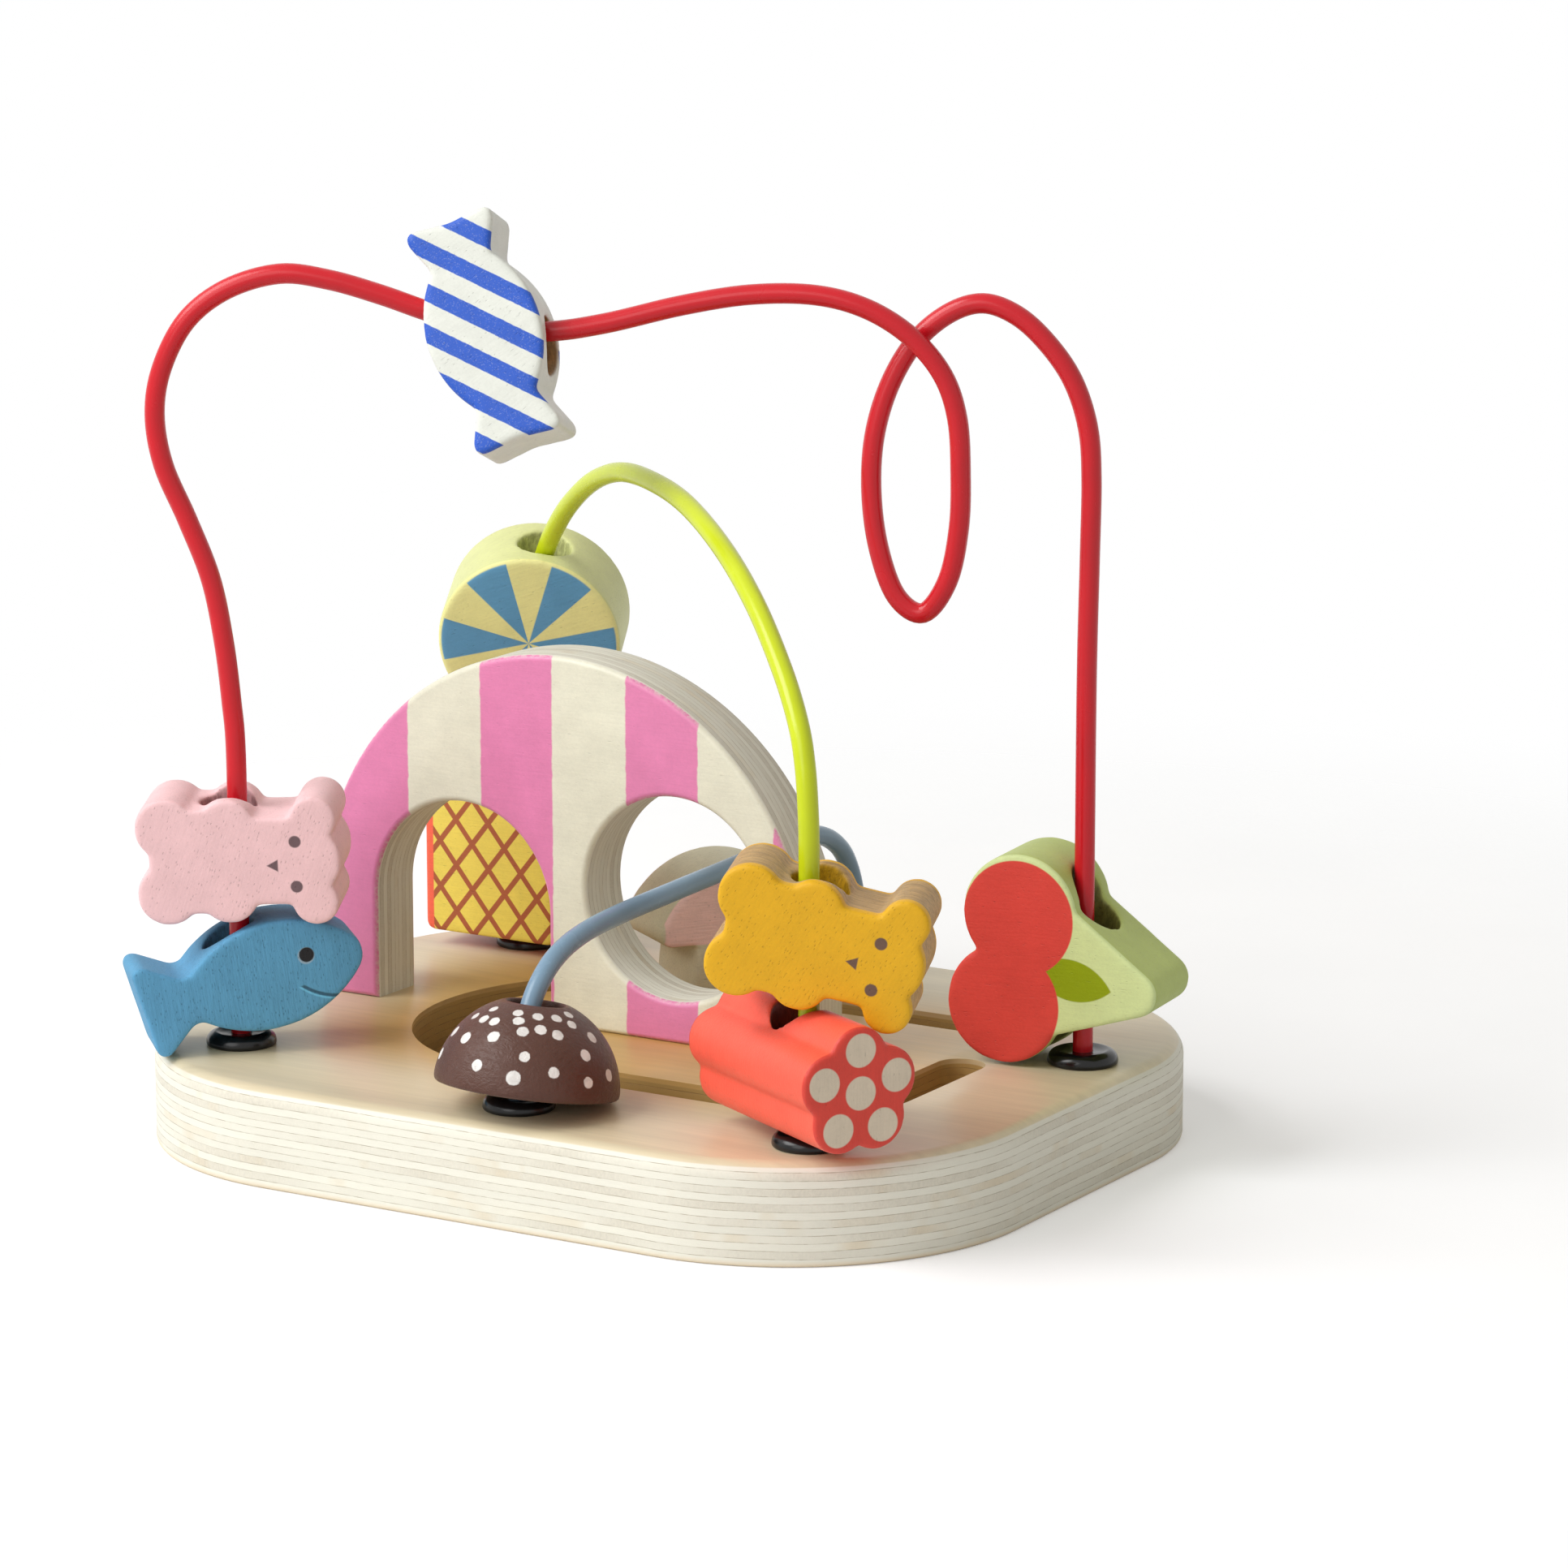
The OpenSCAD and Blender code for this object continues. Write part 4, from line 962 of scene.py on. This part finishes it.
def steel_material():
    """Zinc-plated steel of the screws, with fine turning marks."""
    desk = start_material("steel")
    marks = desk.noise(desk.stretch(desk.where, (3.0, 3.0, 12.0)), 1.0, 3.0, 0.6)
    cloud = desk.noise(desk.where, 0.7, 3.0, 0.6)
    colour = desk.blend(cloud.ramp(0.35, 0.65), linear(196, 198, 200), linear(150, 150, 148))
    return put_surface(desk, colour, marks.ramp(0.3, 0.7, 0.25, 0.45), marks, 0.2, Metallic=1.0)


def bare_wood_material(colours):
    """Bare turned wood of the pin."""
    return painted(start_material("pin_wood"), colours.raw_wood, Pores=0.5, Depth=0.4, Grain=0.9,
                   Gloss=0.6, Angle=QUARTER)


def floor_material():
    """Pale paper that fades into the white background."""
    desk = start_material("floor_paper")
    cloud = desk.noise(desk.where, 0.02, 3.0)
    colour = desk.blend(cloud.ramp(0.3, 0.7), (0.83, 0.84, 0.865), (0.85, 0.86, 0.885))
    x, y, _ = desk.split(desk.where)
    seen = desk.outputs(desk.add('ShaderNodeLightPath'))['Is Camera Ray']
    return put_surface(desk, colour, 0.8, cloud, 0.02, Emission_Color=WHITE,
                       Alpha=desk.hypot(x, y).ramp(460.0, 220.0, soft=True),
                       Emission_Strength=seen * 0.26, Specular_IOR_Level=0.1)


# Pieces

def track_cutter(name, width, low, high):
    """The track's sweep as a solid: a ribbon extruded and spun along the track, then thickened."""
    free_hands()
    bpy.ops.mesh.primitive_plane_add(
        size=1, location=(TRACK_RIGHT, (TRACK_TIP + TRACK_CORNER_Y) / 2, low))
    bpy.context.object.scale = (width, TRACK_TIP - TRACK_CORNER_Y, 1)
    cutter = fresh(name)
    pick(cutter, 'EDGE', at_level(TRACK_CORNER_Y, 1))
    bpy.ops.mesh.spin(steps=20, angle=QUARTER, center=(TRACK_CORNER_X, TRACK_CORNER_Y, low),
                      axis=(0, 0, 1))
    push_edges(TRACK_MIDDLE - TRACK_CORNER_X, 0, 0)
    bpy.ops.mesh.spin(steps=48, angle=math.pi, center=(TRACK_MIDDLE, 0, low), axis=(0, 0, 1))
    push_edges(TRACK_BACK - TRACK_MIDDLE, 0, 0)
    tidy(cutter)
    pick(cutter, 'FACE', lambda face: True)
    push_faces(0, 0, high - low)
    tidy(cutter)
    return [cutter] + [
        add_rod(name + "_end", width / 2, low, high, 64, 'Z', (x, y, 0))
        for x, y in ((TRACK_RIGHT, TRACK_TIP), (TRACK_BACK, TRACK_RADIUS))]


class MAZE_OT_board(bpy.types.Operator):
    """Model the plywood board with its track"""
    bl_idname = "maze.board"
    bl_label = "Board"

    def execute(self, context):
        sizes, colours = context.scene.maze_board, context.scene.maze_colours
        half_l, half_w, top = sizes.board_length / 2, sizes.board_width / 2, sizes.board_height
        board = add_block("board_plywood", (-half_l, -half_w, 0), (half_l, half_w, top))
        bevel(board, lambda e: abs(e.verts[0].co.z - e.verts[1].co.z) > top / 2, sizes.corner, 32)
        bevel(board, at_level(top), sizes.top_round, 8)
        bevel(board, at_level(0), sizes.bottom_round, 3)
        cutters = track_cutter("track_slot", sizes.slot_width, -SPARE, top + SPARE)
        cutters += track_cutter("track_recess", sizes.recess_width, -SPARE, sizes.recess_height)
        for x in SCREW_PLACES:
            cutters.append(add_rod("screw_hole", HOLE_RADIUS, -SPARE, HOLE_DEPTH, 48, 'Z',
                                   (x, 0, 0)))
        cut(board, *cutters)
        tidy(board)
        bevel(board, rim(2, top), sizes.slot_round, 4)
        smooth(board)
        finish_piece(board, "board", "base_board", board_material(colours))
        return {'FINISHED'}


class MAZE_OT_arch(bpy.types.Operator):
    """Model the striped arch with its doorway and window"""
    bl_idname = "maze.arch"
    bl_label = "Arch"

    def execute(self, context):
        sizes, colours = context.scene.maze_board, context.scene.maze_colours
        top, half = sizes.board_height, sizes.arch_thickness / 2
        spring = top + ARCH_SPRING
        free_hands()
        bpy.ops.mesh.primitive_circle_add(
            vertices=200, radius=sizes.arch_radius, fill_type='NGON',
            location=(ARCH_X, -half, spring), rotation=(QUARTER, 0, 0))
        arch = fresh("arch_plywood")
        pick(arch, 'FACE', lambda face: True)
        bpy.ops.mesh.bisect(plane_co=(ARCH_X, 0, spring), plane_no=(0, 0, 1), clear_inner=True)
        pick(arch, 'EDGE', at_level(spring))
        push_edges(0, 0, top - spring)
        bpy.ops.mesh.select_all(action='SELECT')
        bpy.ops.mesh.dissolve_limited(angle_limit=math.radians(0.1))
        bpy.ops.mesh.select_all(action='SELECT')
        push_faces(0, 2 * half, 0)
        tidy(arch)
        door_top, door_half = top + DOOR_RISE, sizes.door_width / 2
        reach = 0.02
        window = add_rod("window", sizes.window_radius, -reach, reach, 128, 'Y', WINDOW_PLACE)
        door = add_block("door", (DOOR_X - door_half, -reach, top - SPARE),
                         (DOOR_X + door_half, reach, door_top))
        crown = add_rod("crown", door_half, -reach, reach, 128, 'Y', (DOOR_X, 0, door_top))
        cut(arch, window, door, crown)
        tidy(arch)
        bevel(arch, rim(1), sizes.arch_round, 5)
        smooth(arch)
        finish_piece(arch, "board", "arch_board", arch_material(colours))
        return {'FINISHED'}


def wire_points(route, start, end, rise, steps=8):
    """Points along a wire, in metres, from the bottom of one foot hole to the other."""
    bottom, middle, top = FOOT_LEVELS
    start, end = Vector((*FEET[start], top)), Vector((*FEET[end], top))
    span = end - start
    aside = Vector((span.y, -span.x, 0)).normalized()
    knots = [start + span * along + Vector((0, 0, rise * up)) - aside * side * LOOP_HALF
             for along, up, side in route]
    points = [Vector((start.x, start.y, level)) for level in (bottom, middle)]
    last = len(knots) - 1
    for index in range(last):
        a, b, c, d = (knots[min(max(index + k, 0), last)] for k in (-1, 0, 1, 2))
        for step in range(steps):
            t = step / steps
            points.append((2 * b + (c - a) * t + (2 * a - 5 * b + 4 * c - d) * t ** 2
                           + (3 * b - a - 3 * c + d) * t ** 3) / 2)
    points.append(knots[-1])
    points += [Vector((end.x, end.y, level)) for level in (middle, bottom)]
    return [point * MM for point in points]


class MAZE_OT_wires(bpy.types.Operator):
    """Sweep the three coated wires along their routes"""
    bl_idname = "maze.wires"
    bl_label = "Wires"

    def execute(self, context):
        sizes, colours = context.scene.maze_beads, context.scene.maze_colours
        for node, route, start, end, rise in WIRES:
            free_hands()
            curve = bpy.data.curves.new(node + "_coat", 'CURVE')
            curve.dimensions = '3D'
            curve.bevel_depth = sizes.wire_diameter / 2
            curve.bevel_resolution = 6
            curve.use_fill_caps = True
            points = wire_points(route, start, end, rise)
            line = curve.splines.new('POLY')
            line.points.add(len(points) - 1)
            for knot, point in zip(line.points, points):
                knot.co = (*point, 1.0)
            wire = bpy.data.objects.new(node + "_coat", curve)
            context.scene.collection.objects.link(wire)
            take(wire)
            bpy.ops.object.convert(target='MESH')
            wire = context.object
            tidy(wire)
            smooth(wire, 50)
            material = coat_material(node + "_coat", getattr(colours, node), gloss=0.23)
            finish_piece(wire, "board", node, material)
        return {'FINISHED'}


class MAZE_OT_collars(bpy.types.Operator):
    """Model one black collar and copy it to each foot"""
    bl_idname = "maze.collars"
    bl_label = "Collars"

    def execute(self, context):
        sizes, colours = context.scene.maze_beads, context.scene.maze_colours
        height, radius = sizes.collar_height, sizes.collar_diameter / 2
        top_round, foot_round, mouth_highlight, dish, bore = 0.0021, 0.0005, 0.0009, 0.00035, 0.00206
        collar = add_rod("collar", radius, 0, height, 72)
        bevel(collar, at_level(height), top_round, 8)
        bevel(collar, at_level(0), foot_round, 3)
        pick(collar, 'FACE',
             lambda f: f.normal.z > 0.99 and f.calc_center_median().z > height - 1e-5)
        bpy.ops.mesh.inset(thickness=mouth_highlight, depth=-dish)
        cut(collar, add_rod("bore", bore, -SPARE, height + SPARE, 48))
        tidy(collar)
        smooth(collar, 40)
        material = coat_material("black_plastic", colours.collar, gloss=0.22)
        for foot, (x, y) in FEET.items():
            piece = copy_to(collar, "grommet_" + foot, (x * MM, y * MM, FOOT_LEVELS[-1] * MM))
            finish_piece(piece, "board", "collar_" + foot, material)
        bpy.data.objects.remove(collar)
        return {'FINISHED'}


def make_bead(scene, node, name, body, paint):
    """Softens a bead and paints it."""
    piece = soften(node, name, scene.maze_beads)
    finish_piece(piece, body, node, paint(scene.maze_colours))
    return {'FINISHED'}


class MAZE_OT_bears(bpy.types.Operator):
    """Model the pink and the yellow bear"""
    bl_idname = "maze.bears"
    bl_label = "Bears"

    def execute(self, context):
        sizes, colours = context.scene.maze_beads, context.scene.maze_colours
        for node, slot, worn in (("pink_bear", "pink_wood", False),
                                 ("yellow_bear", "yellow_wood", True)):
            piece = soften(node, node + "_bead", sizes)
            material = bear_material(node + "_paint", node, getattr(colours, node), colours, worn)
            finish_piece(piece, node, node, material)
        return {'FINISHED'}


class MAZE_OT_fish(bpy.types.Operator):
    """Model the blue fish"""
    bl_idname = "maze.fish"
    bl_label = "Fish"

    def execute(self, context):
        return make_bead(context.scene, "blue_fish", "fish_bead", "fish",
                         fish_material)


class MAZE_OT_candy(bpy.types.Operator):
    """Model the striped candy"""
    bl_idname = "maze.candy"
    bl_label = "Candy"

    def execute(self, context):
        return make_bead(context.scene, "striped_candy", "candy_bead", "candy",
                         candy_material)


class MAZE_OT_cherries(bpy.types.Operator):
    """Model the bead with the printed cherries"""
    bl_idname = "maze.cherries"
    bl_label = "Cherries"

    def execute(self, context):
        return make_bead(context.scene, "cherry_block", "cherry_bead", "cherry",
                         cherry_material)


class MAZE_OT_wheel(bpy.types.Operator):
    """Model the wheel candy"""
    bl_idname = "maze.wheel"
    bl_label = "Wheel candy"

    def execute(self, context):
        return make_bead(context.scene, "wheel_candy", "wheel_bead", "wheel",
                         wheel_material)


class MAZE_OT_ice_cream(bpy.types.Operator):
    """Model the ice cream"""
    bl_idname = "maze.ice_cream"
    bl_label = "Ice cream"

    def execute(self, context):
        return make_bead(context.scene, "ice_cream", "ice_cream_bead", "ice_cream",
                         ice_material)


class MAZE_OT_log(bpy.types.Operator):
    """Model the licorice log"""
    bl_idname = "maze.log"
    bl_label = "Licorice log"

    def execute(self, context):
        return make_bead(context.scene, "licorice_log", "log_bead", "log",
                         log_material)


class MAZE_OT_dome(bpy.types.Operator):
    """Model the chocolate dome"""
    bl_idname = "maze.dome"
    bl_label = "Chocolate dome"

    def execute(self, context):
        return make_bead(context.scene, "chocolate_dome", "dome_bead", "dome",
                         dome_material)


class MAZE_OT_mushroom(bpy.types.Operator):
    """Model the mushroom"""
    bl_idname = "maze.mushroom"
    bl_label = "Mushroom"

    def execute(self, context):
        return make_bead(context.scene, "mushroom", "mushroom_bead", "mushroom",
                         mushroom_material)


def make_screw(name, low, high):
    """A pan-head screw that points up, with a cross recess in its head."""
    head, tip, head_radius, head_round, shank_radius = 0.002, 0.0015, 0.0035, 0.0009, 0.00175
    long, narrow = 0.0021, 0.00045
    screw = add_rod(name, head_radius, low, low + head, 56)
    bevel(screw, at_level(low), head_round, 5)
    pick(screw, 'FACE', lambda face: face.normal.z > 0.99)
    bpy.ops.mesh.inset(thickness=head_radius - shank_radius, depth=0)
    push_faces(0, 0, high - low - head - tip)
    push_faces(0, 0, tip)
    bpy.ops.transform.resize(value=(0.3, 0.3, 1.0))
    cut(screw, *[add_block("recess", (-a, -b, low - SPARE), (a, b, low + SPARE))
                 for a, b in ((long, narrow), (narrow, long))])
    tidy(screw)
    smooth(screw, 40)
    return screw


def make_bush(name, radius, low, high, sides, edge, hole_low, hole_high):
    """A round piece at the slider's place, with rounded rims and a hole for the screw."""
    bush = add_rod(name, radius, low, high, sides, 'Z', SLIDER_PLACE)
    bevel(bush, rim(2), edge, 4)
    cut(bush, add_rod(name + "_hole", SCREW_BORE, hole_low, hole_high, 40, 'Z', SLIDER_PLACE))
    tidy(bush)
    smooth(bush, 40)
    return bush


class MAZE_OT_fittings(bpy.types.Operator):
    """Model the screws under the arch and the slider's pin, disc and screw"""
    bl_idname = "maze.fittings"
    bl_label = "Screws and slider"

    def execute(self, context):
        colours = context.scene.maze_colours
        steel = steel_material()
        long_screw = make_screw("arch_screw", low=0.00005, high=0.02605)
        screws = [copy_to(long_screw, "arch_screw_set", (x, 0, 0)) for x in SCREW_PLACES]
        bpy.data.objects.remove(long_screw)
        take(screws[0])
        for piece in screws[1:]:
            piece.select_set(True)
        bpy.ops.object.join()
        finish_piece(screws[0], "board", "arch_screws", steel)
        short_screw = make_screw("slider_screw_steel", low=0.0017, high=0.0127)
        short_screw.data.transform(Matrix.Translation(SLIDER_PLACE))
        finish_piece(short_screw, "slider", "slider_screw", steel)
        disc = make_bush("slider_disc_plastic", radius=0.008, low=0.0037, high=0.0067, sides=72,
                         edge=0.0005, hole_low=0.003, hole_high=0.0075)
        finish_piece(disc, "slider", "slider_disc",
                     coat_material("grey_plastic", linear(116, 116, 118), gloss=0.45))
        pin = make_bush("slider_pin_wood", radius=0.004, low=0.0067, high=0.0303, sides=56,
                        edge=0.0006, hole_low=0.006, hole_high=0.0127)
        finish_piece(pin, "slider", "slider_pin", bare_wood_material(colours))
        return {'FINISHED'}


def make_world(scene):
    """A white background for the camera and for reflections, and a softer, warm one as light."""
    world = scene.world or bpy.data.worlds.new("studio")
    scene.world = world
    world.use_nodes = True
    world.node_tree.nodes.clear()
    desk = Desk(world.node_tree)
    rays = desk.outputs(desk.add('ShaderNodeLightPath'))
    seen = desk.sum('MAXIMUM', rays['Is Camera Ray'],
                    desk.sum('MAXIMUM', rays['Is Glossy Ray'], rays['Is Transmission Ray']))
    choices = [seen]
    for colour, strength in (((1.0, 0.96, 0.865), 0.42), (WHITE, 1.0)):
        light = desk.add('ShaderNodeBackground')
        desk.feed_all(light, (('Color', colour), ('Strength', strength)))
        choices.append(Value(desk, light.outputs[0]))
    mix = desk.add('ShaderNodeMixShader')
    desk.feed_all(mix, enumerate(choices))
    desk.feed(desk.add('ShaderNodeOutputWorld').inputs['Surface'], Value(desk, mix.outputs[0]))


def hold(scene, data, place, turn):
    """Puts a lamp or a camera in the scene."""
    holder = bpy.data.objects.new(data.name, data)
    scene.collection.objects.link(holder)
    holder.location = place
    holder.rotation_euler = turn
    return holder


class MAZE_OT_stage(bpy.types.Operator):
    """Set up the floor, the light, the background and the camera"""
    bl_idname = "maze.stage"
    bl_label = "Stage"

    def execute(self, context):
        scene = context.scene
        free_hands()
        bpy.ops.mesh.primitive_plane_add(size=4, location=(0, 0, 0))
        floor = fresh("floor")
        floor.data.materials.append(floor_material())
        make_world(scene)
        for name, place, size, power in LAMPS:
            lamp = bpy.data.lights.new(name, 'AREA')
            lamp.shape = 'DISK'
            lamp.size = size
            lamp.energy = power
            aim = LAMP_AIM - Vector(place)
            hold(scene, lamp, place, aim.to_track_quat('-Z', 'Y').to_euler())
        camera = bpy.data.cameras.new("camera")
        camera.lens = CAMERA_LENS
        camera.sensor_width = 36.0
        camera.clip_start = 0.05
        camera.clip_end = 20.0
        turn = Euler((math.radians(CAMERA_TILT), 0, math.radians(CAMERA_TURN)), 'XYZ')
        scene.camera = hold(scene, camera, CAMERA_PLACE, turn)
        scene.view_settings.view_transform = 'Standard'
        return {'FINISHED'}


class MAZE_PT_panel(bpy.types.Panel):
    """Sidebar panel with all steps of the bead maze"""
    bl_idname = "MAZE_PT_panel"
    bl_label = "Bead Maze"
    bl_space_type = 'VIEW_3D'
    bl_region_type = 'UI'
    bl_category = "Bead Maze"

    def draw(self, context):
        scene, layout = context.scene, self.layout
        for step in STEPS:
            layout.operator(step.bl_idname)
        for group in (scene.maze_board, scene.maze_beads, scene.maze_colours):
            box = layout.box()
            for name in group.__annotations__:
                box.prop(group, name)


STEPS = (
    MAZE_OT_board, MAZE_OT_arch, MAZE_OT_wires, MAZE_OT_collars, MAZE_OT_bears, MAZE_OT_fish,
    MAZE_OT_candy, MAZE_OT_cherries, MAZE_OT_wheel, MAZE_OT_ice_cream, MAZE_OT_log, MAZE_OT_dome,
    MAZE_OT_mushroom, MAZE_OT_fittings, MAZE_OT_stage)
CLASSES = (BoardSizes, BeadSizes, MazeColours) + STEPS + (MAZE_PT_panel,)


def register():
    """Makes the groups, the operators and the panel known to Blender."""
    for item in CLASSES:
        bpy.utils.register_class(item)
    bpy.types.Scene.maze_board = PointerProperty(type=BoardSizes)
    bpy.types.Scene.maze_beads = PointerProperty(type=BeadSizes)
    bpy.types.Scene.maze_colours = PointerProperty(type=MazeColours)


def unregister():
    """Takes them out again."""
    del bpy.types.Scene.maze_colours
    del bpy.types.Scene.maze_beads
    del bpy.types.Scene.maze_board
    for item in reversed(CLASSES):
        bpy.utils.unregister_class(item)


def main():
    """Runs every step."""
    register()
    make_groups()
    for step in STEPS:
        group, name = step.bl_idname.split(".")
        getattr(getattr(bpy.ops, group), name)()


if __name__ == "__main__":
    main()
